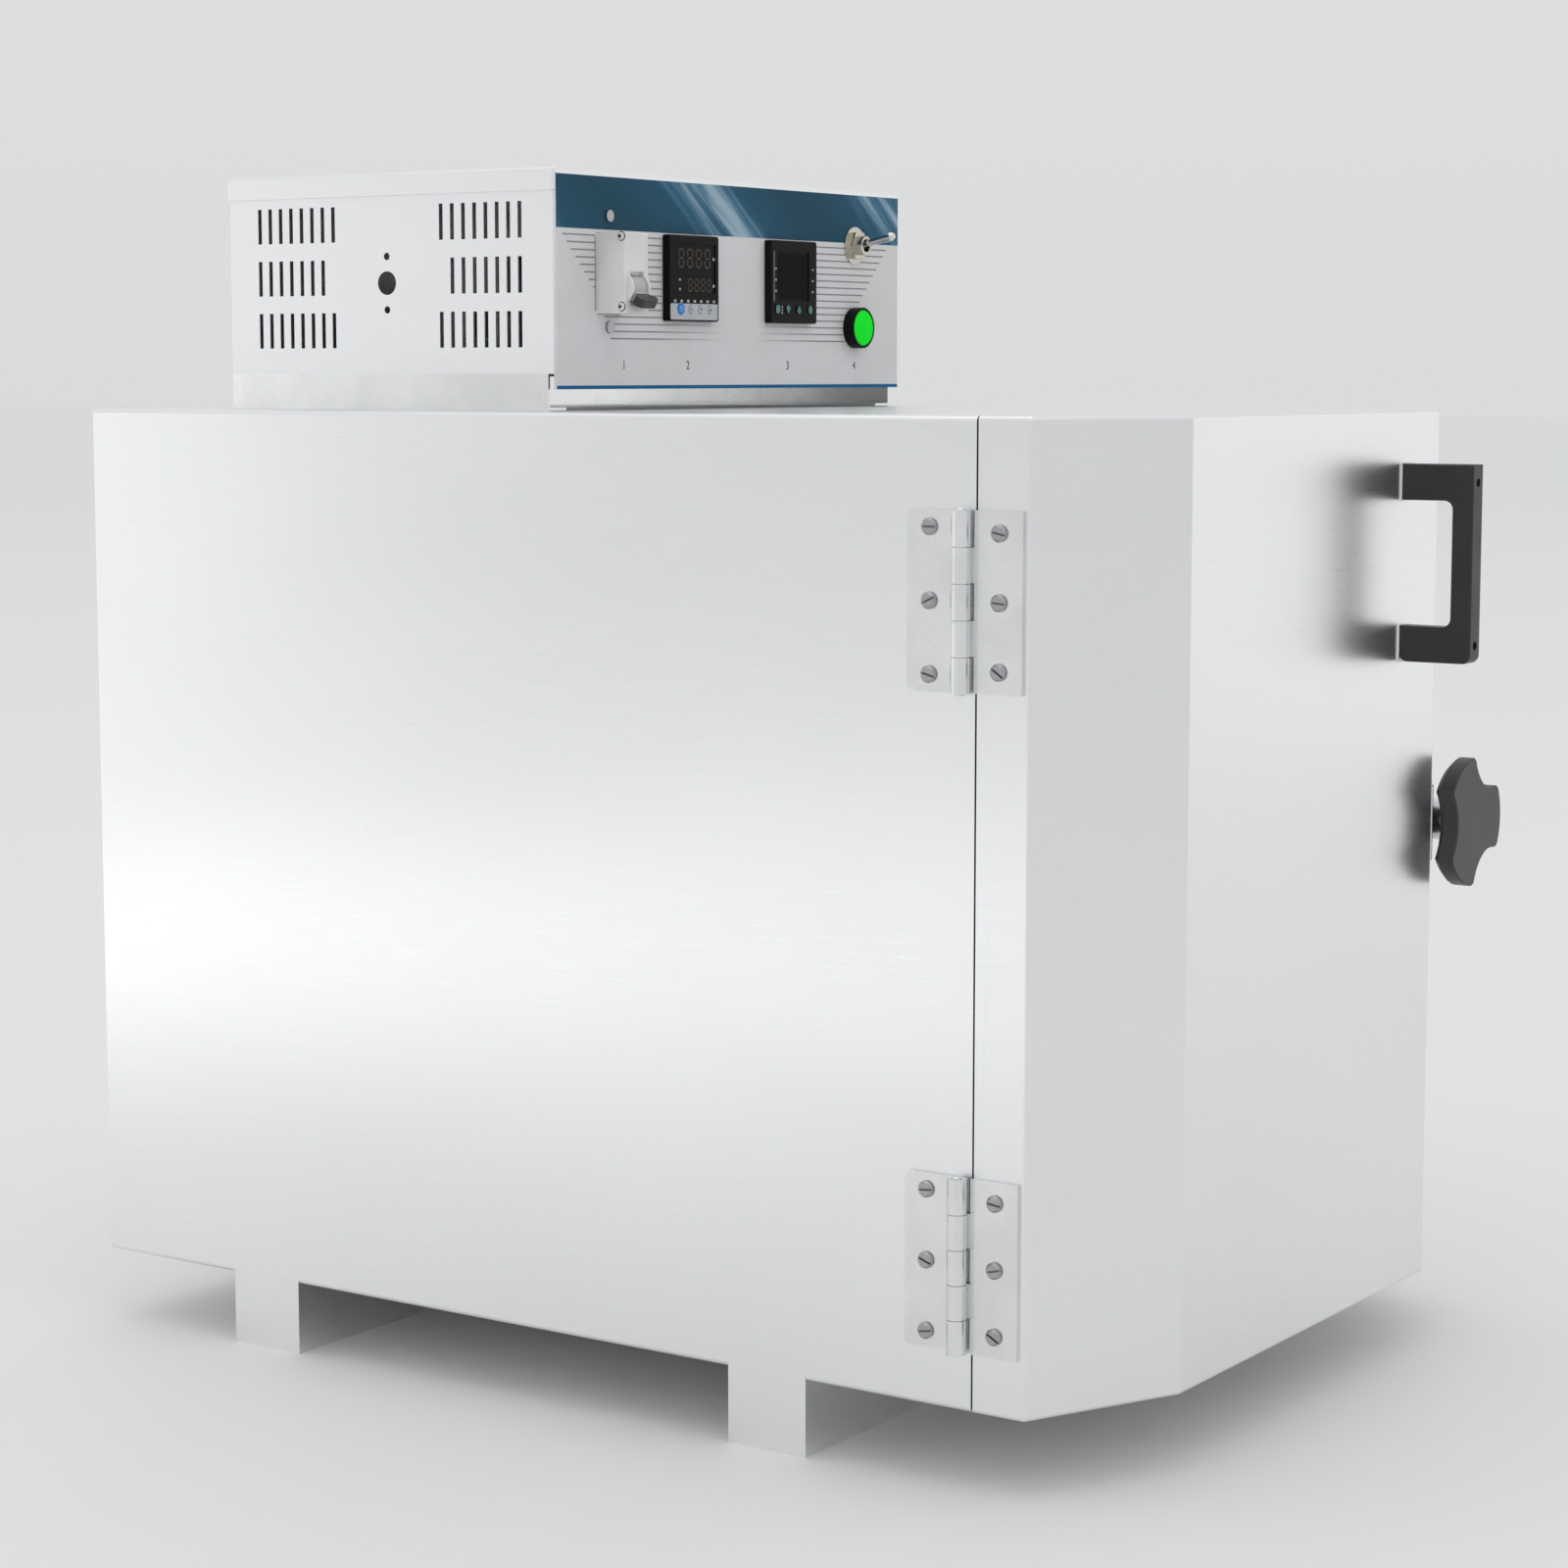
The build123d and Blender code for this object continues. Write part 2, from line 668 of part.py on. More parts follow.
# Cabinet leaves: knuckles 1, 3 and 5, and notches for the door's knuckles.
with BuildPart() as hinge_cabinet_leaves:
    for base in hinge_bases:
        with BuildSketch(facing_left(left_x, pin_y)):
            with Locations((-leaf_reach / 2, base + hinge_height / 2)):
                Rectangle(leaf_reach, hinge_height)
        extrude(amount=leaf_thickness)
        for index in cabinet_knuckles:
            low, high = knuckle_span(base, index)
            with BuildSketch(level(low)):
                with Locations((pin_x, pin_y)):
                    Circle(knuckle_radius)
                with Locations((left_x - leaf_thickness / 2 - leaf_relief / 2, pin_y + knuckle_radius / 2)):
                    Rectangle(leaf_thickness - leaf_relief, knuckle_radius)
            extrude(amount=high - low)
        for index in door_knuckles:
            low, high = knuckle_span(base, index)
            with BuildSketch(level(low - knuckle_gap)):
                with Locations((left_x, pin_y)):
                    Rectangle(3 * knuckle_stand, 2 * notch_reach)
            extrude(amount=high - low + 2 * knuckle_gap, mode=Mode.SUBTRACT)
    fillet(
        hinge_cabinet_leaves.edges().filter_by(Axis.X).group_by(Axis.Y)[-1],
        leaf_corner,
    )
    with BuildSketch(level(base_z)):
        with Locations((pin_x, pin_y)):
            Circle(pin_radius)
    extrude(amount=cabinet_height, mode=Mode.SUBTRACT)
    with BuildSketch(facing_left(left_x)):
        for z in cabinet_screw_heights:
            with Locations((-pin_y - leaf_screw_offset, z)):
                Circle(screw_radius + screw_fit)
    extrude(amount=leaf_thickness, mode=Mode.SUBTRACT)
hinge_cabinet_leaves.part.label = "hinge_cabinet_leaves"
export_step(hinge_cabinet_leaves.part, "parts/hinge_cabinet_leaves.step")

# Door leaves: knuckles 2 and 4, whose tongues cross the seam just clear of the cabinet.
tongue_reach = pin_y - door_rear_y
door_screw_heights = leaf_screw_heights(door_screw_pitch)
with BuildPart() as hinge_door_leaves:
    for base in hinge_bases:
        with BuildSketch(facing_left(left_x, pin_y)):
            with Locations((leaf_reach / 2, base + hinge_height / 2)):
                Rectangle(leaf_reach, hinge_height)
        extrude(amount=leaf_thickness)
        for index in door_knuckles:
            low, high = knuckle_span(base, index)
            with BuildSketch(level(low)):
                with Locations((pin_x, pin_y)):
                    Circle(knuckle_radius)
            extrude(amount=high - low)
        for index in cabinet_knuckles:
            low, high = knuckle_span(base, index)
            with BuildSketch(level(low - knuckle_gap)):
                with Locations((left_x, pin_y)):
                    Rectangle(3 * knuckle_stand, 2 * notch_reach)
            extrude(amount=high - low + 2 * knuckle_gap, mode=Mode.SUBTRACT)
    with BuildSketch(level(base_z)):
        with Locations((left_x, pin_y - tongue_reach / 2)):
            Rectangle(2 * leaf_relief, tongue_reach)
    extrude(amount=cabinet_height, mode=Mode.SUBTRACT)
    with BuildSketch(level(base_z)):
        with Locations((pin_x, pin_y)):
            Circle(pin_radius + pin_fit)
    extrude(amount=cabinet_height, mode=Mode.SUBTRACT)
    with BuildSketch(facing_left(left_x)):
        for z in door_screw_heights:
            with Locations((-pin_y + leaf_screw_offset, z)):
                Circle(screw_radius + screw_fit)
    extrude(amount=leaf_thickness, mode=Mode.SUBTRACT)
hinge_door_leaves.part.label = "hinge_door_leaves"
export_step(hinge_door_leaves.part, "parts/hinge_door_leaves.step")

with BuildPart() as hinge_pins:
    for base in hinge_bases:
        with BuildSketch(level(base - pin_end)):
            with Locations((pin_x, pin_y)):
                Circle(pin_radius)
        extrude(amount=hinge_height + 2 * pin_end)
    chamfer(hinge_pins.edges().filter_by(GeomType.CIRCLE), pin_bevel)
hinge_pins.part.label = "hinge_pins"
export_step(hinge_pins.part, "parts/hinge_pins.step")


def leaf_screws(across, heights, slot_angles):
    """Bevelled slotted screws through the leaves at one distance across the cabinet's side."""
    head_x = left_x - leaf_thickness
    with BuildPart() as screws:
        with BuildSketch(facing_left(head_x)):
            for z in heights:
                with Locations((across, z)):
                    Circle(screw_head_radius)
        extrude(amount=screw_head_height)
        chamfer(screws.faces().filter_by(Axis.X).group_by(Axis.X)[0].edges(), screw_head_bevel)
        with BuildSketch(facing_left(head_x - screw_head_height)):
            for z, angle in zip(heights, slot_angles):
                with Locations((across, z)):
                    Rectangle(3 * screw_head_radius, screw_slot, rotation=angle)
        extrude(amount=-screw_slot_depth, mode=Mode.SUBTRACT)
        with BuildSketch(facing_left(head_x)):
            for z in heights:
                with Locations((across, z)):
                    Circle(screw_radius)
        extrude(amount=-leaf_thickness - sheet)
    return screws


cabinet_leaf_screws = leaf_screws(-pin_y - leaf_screw_offset, cabinet_screw_heights, cabinet_slot_angles)
cabinet_leaf_screws.part.label = "cabinet_leaf_screws"
export_step(cabinet_leaf_screws.part, "parts/cabinet_leaf_screws.step")

door_leaf_screws = leaf_screws(-pin_y + leaf_screw_offset, door_screw_heights, door_slot_angles)
door_leaf_screws.part.label = "door_leaf_screws"
export_step(door_leaf_screws.part, "parts/door_leaf_screws.step")


# ---------------------------------------------------------------- door
flat_left = left_x + chamfer_run
flat_right = right_x - chamfer_run
chamfer_length = (chamfer_run**2 + chamfer_drop**2) ** 0.5
bearing_start_y = latch_surface_y + bearing_collar_radius


def door_plan(inset, corner):
    """Plan of the door: side rims, two chamfers and the flat front, set in by inset, folds rounded."""
    shoulder_y = door_shoulder_y + inset * (chamfer_length - chamfer_drop) / chamfer_run
    flat_inset = inset * (chamfer_length - chamfer_run) / chamfer_drop
    with BuildSketch() as plan:
        with BuildLine():
            Polyline(
                (left_x + inset, door_rear_y),
                (left_x + inset, shoulder_y),
                (flat_left + flat_inset, door_front_y + inset),
                (flat_right - flat_inset, door_front_y + inset),
                (right_x - inset, shoulder_y),
                (right_x - inset, door_rear_y),
                close=True,
            )
        make_face()
        folds = plan.vertices().group_by(Axis.Y)
        fillet(folds[0] + folds[1], corner)
    return plan.sketch


# The round passage along the latch's axis, right through the door.
with BuildPart() as latch_passage:
    with BuildSketch(facing_front(door_rear_y, latch_x, latch_z)):
        Circle(bearing_tube_radius + hole_fit)
    extrude(amount=door_rim + chamfer_drop)


# Shell: a folded pan, open at the back, with a hole for the latch and one at each fixing.
handle_x = right_x - handle_edge_distance
handle_z = base_z + handle_middle_height
handle_screw_z = [handle_z + side * (handle_height - handle_leg) / 2 for side in (-1, 1)]
with BuildPart() as door_shell:
    with BuildSketch(level(base_z)):
        add(door_plan(0, bend_radius))
    extrude(amount=cabinet_height)
    ends = door_shell.faces().sort_by(Axis.Z)
    fillet(
        ends[0].edges().sort_by(Axis.Y)[:-1] + ends[-1].edges().sort_by(Axis.Y)[:-1],
        door_edge_round,
    )
    with BuildSketch(level(inner_base)):
        add(door_plan(sheet, bend_radius - sheet))
    extrude(amount=inner_height, mode=Mode.SUBTRACT)
    add(latch_passage, mode=Mode.SUBTRACT)
    with BuildSketch(facing_left(left_x)):
        for z in door_screw_heights:
            with Locations((-pin_y + leaf_screw_offset, z)):
                Circle(screw_radius + screw_fit)
    extrude(amount=-sheet, mode=Mode.SUBTRACT)
    with BuildSketch(facing_front(door_front_y)):
        for z in handle_screw_z:
            with Locations((handle_x, z)):
                Circle(screw_radius + screw_fit)
    extrude(amount=-sheet, mode=Mode.SUBTRACT)
door_shell.part.label = "door_shell"
export_step(door_shell.part, "parts/door_shell.step")

with BuildPart() as door_back_plate:
    with BuildSketch(facing_front(pan_y, middle_x, chamber_z)):
        RectangleRounded(inner_width, inner_height, bend_radius - sheet)
    extrude(amount=sheet)
    add(latch_passage, mode=Mode.SUBTRACT)
door_back_plate.part.label = "door_back_plate"
export_step(door_back_plate.part, "parts/door_back_plate.step")

with BuildPart() as door_insulation:
    with BuildSketch(level(inner_base)):
        add(door_plan(sheet + wool_ease, bend_radius))
    extrude(amount=inner_height)
    with BuildSketch(level(inner_base)):
        with Locations((middle_x, door_rear_y)):
            Rectangle(cabinet_width, 2 * (inner_pan_inset + sheet))
    extrude(amount=inner_height, mode=Mode.SUBTRACT)
    add(latch_passage, mode=Mode.SUBTRACT)
    with BuildSketch(facing_front(door_front_y)):
        for z in handle_screw_z:
            with Locations((handle_x, z)):
                Circle(screw_radius + screw_fit)
    extrude(amount=-screw_length - sheet, mode=Mode.SUBTRACT)
    with BuildSketch(facing_left(left_x)):
        for z in door_screw_heights:
            with Locations((-pin_y + leaf_screw_offset, z)):
                Circle(screw_radius + screw_fit)
    extrude(amount=-screw_length, mode=Mode.SUBTRACT)
door_insulation.part.label = "door_insulation"
export_step(door_insulation.part, "parts/door_insulation.step")

# Plug: a tapered refractory block that closes the chamber's mouth.
plug_length = front_y + plug_reach - pan_y
with BuildPart() as door_plug:
    for depth, narrower in ((0, 0), (plug_length, plug_taper)):
        with BuildSketch(facing_back(pan_y + depth, middle_x, chamber_z)):
            RectangleRounded(
                chamber_width - 2 * (plug_clearance + narrower),
                chamber_height - 2 * (plug_clearance + narrower),
                chamber_radius,
            )
    loft()
door_plug.part.label = "door_plug"
export_step(door_plug.part, "parts/door_plug.step")

mouth_width = chamber_width + 2 * mouth_reveal
mouth_height = chamber_height + 2 * mouth_reveal
with BuildPart() as door_gasket:
    with BuildSketch(facing_back(pan_y, middle_x, chamber_z)):
        RectangleRounded(mouth_width + 2 * gasket_width, mouth_height + 2 * gasket_width, gasket_width)
        RectangleRounded(mouth_width, mouth_height, mouth_radius, mode=Mode.SUBTRACT)
    extrude(amount=frame_y - gasket_gap - pan_y)
    chamfer(door_gasket.faces().sort_by(Axis.Y)[-1].edges(), gasket_bevel)
door_gasket.part.label = "door_gasket"
export_step(door_gasket.part, "parts/door_gasket.step")

# Handle: a moulded bracket handle on two legs, screwed on from the front through its legs.
with BuildPart() as door_handle:
    with BuildSketch(facing_left(handle_x + handle_width / 2, door_front_y, handle_z)) as handle_side:
        with Locations((handle_reach / 2, 0)):
            Rectangle(handle_reach, handle_height)
        fillet(handle_side.vertices().group_by(Axis.Y)[0], handle_corner)
        with BuildSketch(mode=Mode.PRIVATE) as window:
            with Locations(((handle_reach - handle_grip) / 2, 0)):
                Rectangle(handle_reach - handle_grip, handle_height - 2 * handle_leg)
            fillet(window.vertices().group_by(Axis.X)[-1], handle_inner_radius)
        add(window, mode=Mode.SUBTRACT)
    extrude(amount=handle_width)
    for flank in (0, -1):
        chamfer(door_handle.edges().group_by(Axis.X)[flank], handle_bevel)
    with BuildSketch(facing_front(door_front_y - handle_reach)):
        for z in handle_screw_z:
            with Locations((handle_x, z)):
                Circle(handle_screw_radius)
    extrude(amount=-handle_screw_depth, mode=Mode.SUBTRACT)
    with BuildSketch(facing_front(door_front_y)):
        for z in handle_screw_z:
            with Locations((handle_x, z)):
                Circle(screw_radius + screw_fit)
    extrude(amount=handle_reach, mode=Mode.SUBTRACT)
door_handle.part.label = "door_handle"
export_step(door_handle.part, "parts/door_handle.step")

handle_screw_y = door_front_y - handle_reach + handle_screw_depth
with BuildPart() as handle_screws:
    for z in handle_screw_z:
        with BuildSketch(facing_front(handle_screw_y, handle_x, z)):
            Circle(handle_screw_radius - screw_fit)
        extrude(amount=screw_head_height)
        with BuildSketch(facing_front(door_front_y + screw_length, handle_x, z)):
            Circle(screw_radius)
        extrude(amount=door_front_y + screw_length - handle_screw_y)
handle_screws.part.label = "handle_screws"
export_step(handle_screws.part, "parts/handle_screws.step")

# ---------------------------------------------------------------- latch
chamfer_normal = (sin(radians(chamfer_angle)), -cos(radians(chamfer_angle)), 0)
chamfer_face = Plane(origin=(latch_x, latch_surface_y, latch_z), x_dir=(0, 0, 1), z_dir=chamfer_normal)

with BuildPart() as latch_escutcheon:
    with BuildSketch(chamfer_face):
        RectangleRounded(escutcheon_height, escutcheon_width, leaf_corner)
    extrude(amount=escutcheon_thickness)
    outward = Axis(chamfer_face.origin, chamfer_face.z_dir)
    chamfer(latch_escutcheon.faces().sort_by(outward)[-1].edges(), escutcheon_bevel)
    add(latch_passage, mode=Mode.SUBTRACT)
latch_escutcheon.part.label = "latch_escutcheon"
export_step(latch_escutcheon.part, "parts/latch_escutcheon.step")

# Bearing: a tube through the door with a collar that stands on the slanted escutcheon.
with BuildPart() as latch_bearing:
    with BuildSketch(facing_front(bearing_start_y, latch_x, latch_z)):
        Circle(bearing_collar_radius)
    extrude(amount=bearing_start_y - knob_back_y - latch_gap)
    split(bisect_by=chamfer_face.offset(escutcheon_thickness), keep=Keep.TOP)
    with BuildSketch(facing_front(pan_y, latch_x, latch_z)):
        Circle(bearing_tube_radius)
    extrude(amount=pan_y - knob_back_y - latch_gap)
    with BuildSketch(facing_front(pan_y, latch_x, latch_z)):
        Circle(latch_shaft_radius + latch_fit)
    extrude(amount=pan_y - knob_back_y, mode=Mode.SUBTRACT)
latch_bearing.part.label = "latch_bearing"
export_step(latch_bearing.part, "parts/latch_bearing.step")

# Knob: three broad lobes with hollow valleys between them, one lobe pointing to the right.
with BuildPart() as latch_knob:
    with BuildSketch(facing_front(knob_back_y, latch_x, latch_z)) as knob_outline:
        Circle(knob_radius)
        with PolarLocations(knob_valley_distance, knob_lobes, start_angle=180 / knob_lobes):
            Circle(knob_valley_radius, mode=Mode.SUBTRACT)
        fillet(knob_outline.vertices(), knob_corner)
    extrude(amount=knob_thickness)
    chamfer(latch_knob.faces().sort_by(Axis.Y)[-1].edges(), knob_back_bevel)
    chamfer(latch_knob.faces().sort_by(Axis.Y)[0].edges(), knob_front_bevel)
    with BuildSketch(facing_front(knob_back_y, latch_x, latch_z)):
        Circle(latch_shaft_radius + latch_fit)
    extrude(amount=knob_socket, mode=Mode.SUBTRACT)
latch_knob.part.label = "latch_knob"
export_step(latch_knob.part, "parts/latch_knob.step")

with BuildPart() as latch_shaft:
    with BuildSketch(facing_back(knob_back_y - knob_socket, latch_x, latch_z)):
        Circle(latch_shaft_radius)
    extrude(amount=pawl_front_y - knob_back_y + knob_socket)
    with BuildSketch(facing_back(pawl_front_y, latch_x, latch_z)):
        Rectangle(tang, tang)
    extrude(amount=pawl_thickness)
    with BuildSketch(facing_back(pawl_front_y + pawl_thickness, latch_x, latch_z)):
        Circle(tang / 2)
    extrude(amount=latch_nut)
latch_shaft.part.label = "latch_shaft"
export_step(latch_shaft.part, "parts/latch_shaft.step")

# Pawl: a flat arm on the shaft's square, upright when released, with its retaining nut.
with BuildPart() as latch_pawl:
    with BuildSketch(facing_back(pawl_front_y, latch_x, latch_z)):
        with Locations((0, (pawl_length - pawl_width / 2) / 2)):
            SlotCenterToCenter(pawl_length - pawl_width / 2, pawl_width, rotation=90)
        Rectangle(tang + 2 * latch_fit, tang + 2 * latch_fit, mode=Mode.SUBTRACT)
    extrude(amount=pawl_thickness)
    with BuildSketch(facing_back(pawl_front_y + pawl_thickness, latch_x, latch_z)):
        RegularPolygon(pawl_width / 2, 6)
        Circle(tang / 2 + latch_fit, mode=Mode.SUBTRACT)
    extrude(amount=latch_nut)
latch_pawl.part.label = "latch_pawl"
export_step(latch_pawl.part, "parts/latch_pawl.step")

# ---------------------------------------------------------------- control box
box_middle_y = (housing_front_y + box_rear_y) / 2
housing_depth = box_rear_y - housing_front_y
vent_columns_y = [
    port_y + side * (vent_group_offset + (column - (vent_columns - 1) / 2) * vent_pitch)
    for side in (-1, 1)
    for column in range(vent_columns)
]
vent_rows_z = [
    floor_z + vent_middle_height + (row - (vent_rows - 1) / 2) * vent_row_pitch
    for row in range(vent_rows)
]
port_z = floor_z + port_height
port_column = min(abs(y - port_y) for y in vent_columns_y)
vent_places = [
    (-y, z)
    for z in vent_rows_z
    for y in vent_columns_y
    if abs(z - port_z) > vent_row_pitch / 2 or abs(y - port_y) > port_column + vent_pitch / 2
]

gland_plane = facing_back(box_rear_y, middle_x + gland_offset, floor_z + gland_height)

# Housing: a folded tray with vented sides, open at the top and front inside its lips.
with BuildPart() as control_housing:
    with BuildSketch(level(floor_z)):
        with Locations((middle_x, box_middle_y)):
            Rectangle(box_width, housing_depth)
    extrude(amount=box_height)
    with BuildSketch(level(floor_z + sheet)):
        with Locations((middle_x, box_middle_y)):
            Rectangle(box_width - 2 * sheet, housing_depth - 2 * sheet)
    extrude(amount=box_height - 2 * sheet, mode=Mode.SUBTRACT)
    with BuildSketch(level(floor_z + 2 * sheet)):
        with Locations((middle_x, box_middle_y)):
            Rectangle(box_width - 2 * box_lip, housing_depth - 2 * box_lip)
    extrude(amount=box_height, mode=Mode.SUBTRACT)
    with BuildSketch(facing_front(box_middle_y, middle_x, floor_z + box_height / 2)):
        Rectangle(box_width - 2 * box_lip, box_height - 2 * box_lip)
    extrude(amount=box_depth, mode=Mode.SUBTRACT)
    with BuildSketch(facing_left(box_left)):
        with Locations(*vent_places):
            Rectangle(vent_width, vent_length)
    extrude(amount=-box_width, mode=Mode.SUBTRACT)
    with BuildSketch(facing_left(box_left)):
        with Locations((-port_y, port_z)):
            Circle(port_radius)
        for side in (-1, 1):
            with Locations((-port_y, port_z + side * port_screw_pitch / 2)):
                Circle(port_screw_radius)
    extrude(amount=-sheet, mode=Mode.SUBTRACT)
    with BuildSketch(level(floor_z)):
        with Locations((conduit_x, conduit_y)):
            Circle(conduit_radius + hole_fit)
    extrude(amount=sheet, mode=Mode.SUBTRACT)
    with BuildSketch(gland_plane):
        Circle(gland_radius + hole_fit)
    extrude(amount=-sheet, mode=Mode.SUBTRACT)
control_housing.part.label = "control_housing"
export_step(control_housing.part, "parts/control_housing.step")

# Lid: a shallow cover whose flanges hang outside the housing, with a short lip over the panel.
lid_reach = sheet + lid_clearance
lid_rear_y = box_rear_y + lid_reach
with BuildPart() as control_lid:
    with BuildSketch(level(box_top_z - lid_flange)):
        with Locations((middle_x, (panel_y + lid_rear_y) / 2)):
            Rectangle(box_width + 2 * lid_reach, lid_rear_y - panel_y)
    extrude(amount=lid_flange + sheet)
    fillet(
        control_lid.faces().sort_by(Axis.Z)[-1].edges() + control_lid.edges().filter_by(Axis.Z),
        sheet,
    )
    with BuildSketch(level(box_top_z - lid_flange)):
        with Locations((middle_x, (panel_y + sheet + lid_rear_y - sheet) / 2)):
            Rectangle(box_width + 2 * lid_clearance, lid_rear_y - panel_y - 2 * sheet)
    extrude(amount=lid_flange, mode=Mode.SUBTRACT)
    with BuildSketch(level(box_top_z - lid_flange)):
        with Locations((middle_x, panel_y)):
            Rectangle(box_width + 2 * lid_clearance, 4 * sheet)
    extrude(amount=lid_flange + sheet - lid_front_lip, mode=Mode.SUBTRACT)
control_lid.part.label = "control_lid"
export_step(control_lid.part, "parts/control_lid.step")

# Rails: channels that open inwards and hold the box off the cabinet's roof.
with BuildPart() as box_rails:
    for side in (-1, 1):
        with BuildSketch(facing_front(box_rear_y, middle_x + side * box_width / 2, roof_z)):
            with BuildLine():
                Polyline(
                    (0, 0),
                    (-side * rail_flange, 0),
                    (-side * rail_flange, sheet),
                    (-side * sheet, sheet),
                    (-side * sheet, rail_height - sheet),
                    (-side * rail_flange, rail_height - sheet),
                    (-side * rail_flange, rail_height),
                    (0, rail_height),
                    close=True,
                )
            make_face()
        extrude(amount=housing_depth - rail_inset)
box_rails.part.label = "box_rails"
export_step(box_rails.part, "parts/box_rails.step")

# Front panel, with an opening for each thing that it carries.
breaker_x = middle_x + breaker_offset
breaker_z = roof_z + breaker_height_up
instrument_x = (middle_x - instrument_offset, middle_x + instrument_offset)
instrument_z = roof_z + instrument_height_up
toggle_x = middle_x + toggle_offset
toggle_z = roof_z + toggle_height_up
button_z = roof_z + button_height_up
panel_middle_z = panel_bottom_z + panel_height / 2
panel_screw_z = [roof_z + panel_screws_height_up + side * panel_screw_pitch / 2 for side in (-1, 1)]
breaker_opening = (breaker_width + 2 * panel_fit, breaker_nose_height + 2 * panel_fit)
instrument_opening = instrument_body + 2 * panel_fit


def on_panel(x, z):
    """A point of the front panel, from the panel's middle."""
    return x - middle_x, z - panel_middle_z


with BuildPart() as front_panel:
    with BuildSketch(facing_front(housing_front_y, middle_x, panel_middle_z)):
        Rectangle(box_width, panel_height)
        with Locations(on_panel(breaker_x, breaker_z)):
            Rectangle(breaker_opening[0], breaker_opening[1], mode=Mode.SUBTRACT)
        with Locations(*[on_panel(x, instrument_z) for x in instrument_x]):
            Rectangle(instrument_opening, instrument_opening, mode=Mode.SUBTRACT)
        with Locations(on_panel(toggle_x, toggle_z)):
            Circle(toggle_bushing_radius + hole_fit, mode=Mode.SUBTRACT)
        with Locations(on_panel(toggle_x, button_z)):
            Circle(button_barrel_radius + hole_fit, mode=Mode.SUBTRACT)
        with Locations(*[on_panel(breaker_x, z) for z in panel_screw_z]):
            Circle(screw_radius + screw_fit, mode=Mode.SUBTRACT)
    extrude(amount=panel_thickness)
front_panel.part.label = "front_panel"
export_step(front_panel.part, "parts/front_panel.step")

# Screws of the panel and of the lid's back flange.
lid_screw_z = box_top_z - lid_flange / 2
lid_screw_x = [middle_x + side * (box_width / 2 - box_lip * 2) for side in (-1, 1)]
with BuildPart() as box_screws:
    for z in panel_screw_z:
        with BuildSketch(facing_front(panel_y, breaker_x, z)):
            Circle(panel_screw_radius)
        extrude(amount=panel_screw_height)
        with BuildSketch(facing_front(housing_front_y, breaker_x, z)):
            Circle(screw_radius)
        extrude(amount=panel_thickness)
    for x in lid_screw_x:
        with BuildSketch(facing_back(lid_rear_y, x, lid_screw_z)):
            Circle(panel_screw_radius)
        extrude(amount=panel_screw_height)
box_screws.part.label = "box_screws"
export_step(box_screws.part, "parts/box_screws.step")

# ---------------------------------------------------------------- breaker
nose_y = panel_y - breaker_nose_reach
breaker_body_y = housing_front_y + breaker_body_gap
breaker_rear_y = breaker_body_y + breaker_body_depth
pivot_y = nose_y + breaker_pivot_depth
pivot_z = breaker_z - breaker_pivot_drop
lever_down = radians(breaker_rest_angle)

with BuildPart() as breaker_case:
    with BuildSketch(facing_front(breaker_body_y, breaker_x, breaker_z)):
        Rectangle(breaker_width, breaker_nose_height)
    extrude(amount=breaker_body_y - nose_y)
    chamfer(breaker_case.faces().sort_by(Axis.Y)[0].edges(), breaker_bevel)
    with BuildSketch(facing_front(breaker_rear_y, breaker_x, breaker_z)):
        Rectangle(breaker_width, breaker_body_height)
    extrude(amount=breaker_body_depth)
    with BuildSketch(facing_left(breaker_x + breaker_drum_width / 2 + breaker_fit, pivot_y, pivot_z)):
        Circle(breaker_drum_radius + breaker_fit)
    extrude(amount=breaker_drum_width + 2 * breaker_fit, mode=Mode.SUBTRACT)
    with BuildSketch(facing_front(nose_y, breaker_x, pivot_z)):
        Rectangle(breaker_drum_width + 2 * breaker_fit, breaker_window[0])
    extrude(amount=-breaker_window[1], mode=Mode.SUBTRACT)
breaker_case.part.label = "breaker_case"
export_step(breaker_case.part, "parts/breaker_case.step")

# Lever: a drum in the case's round pocket, with a handle that widens past the case's face.
lever_plane = Plane(
    origin=(breaker_x, pivot_y, pivot_z),
    x_dir=(1, 0, 0),
    z_dir=(0, sin(lever_down), -cos(lever_down)),
)
with BuildPart() as breaker_lever:
    with BuildSketch(facing_left(breaker_x + breaker_drum_width / 2, pivot_y, pivot_z)):
        Circle(breaker_drum_radius)
    extrude(amount=breaker_drum_width)
    with BuildSketch(lever_plane):
        with BuildLine():
            Polyline(
                (-lever_neck / 2, 0),
                (-lever_neck / 2, lever_shoulder - breaker_fit),
                (-lever_width / 2, lever_shoulder + lever_flare),
                (-lever_width / 2, lever_reach - lever_thickness / 2),
                (-lever_tip / 2, lever_reach),
                (lever_tip / 2, lever_reach),
                (lever_width / 2, lever_reach - lever_thickness / 2),
                (lever_width / 2, lever_shoulder + lever_flare),
                (lever_neck / 2, lever_shoulder - breaker_fit),
                (lever_neck / 2, 0),
                close=True,
            )
        make_face()
    extrude(amount=lever_thickness / 2, both=True)
breaker_lever.part.label = "breaker_lever"
export_step(breaker_lever.part, "parts/breaker_lever.step")

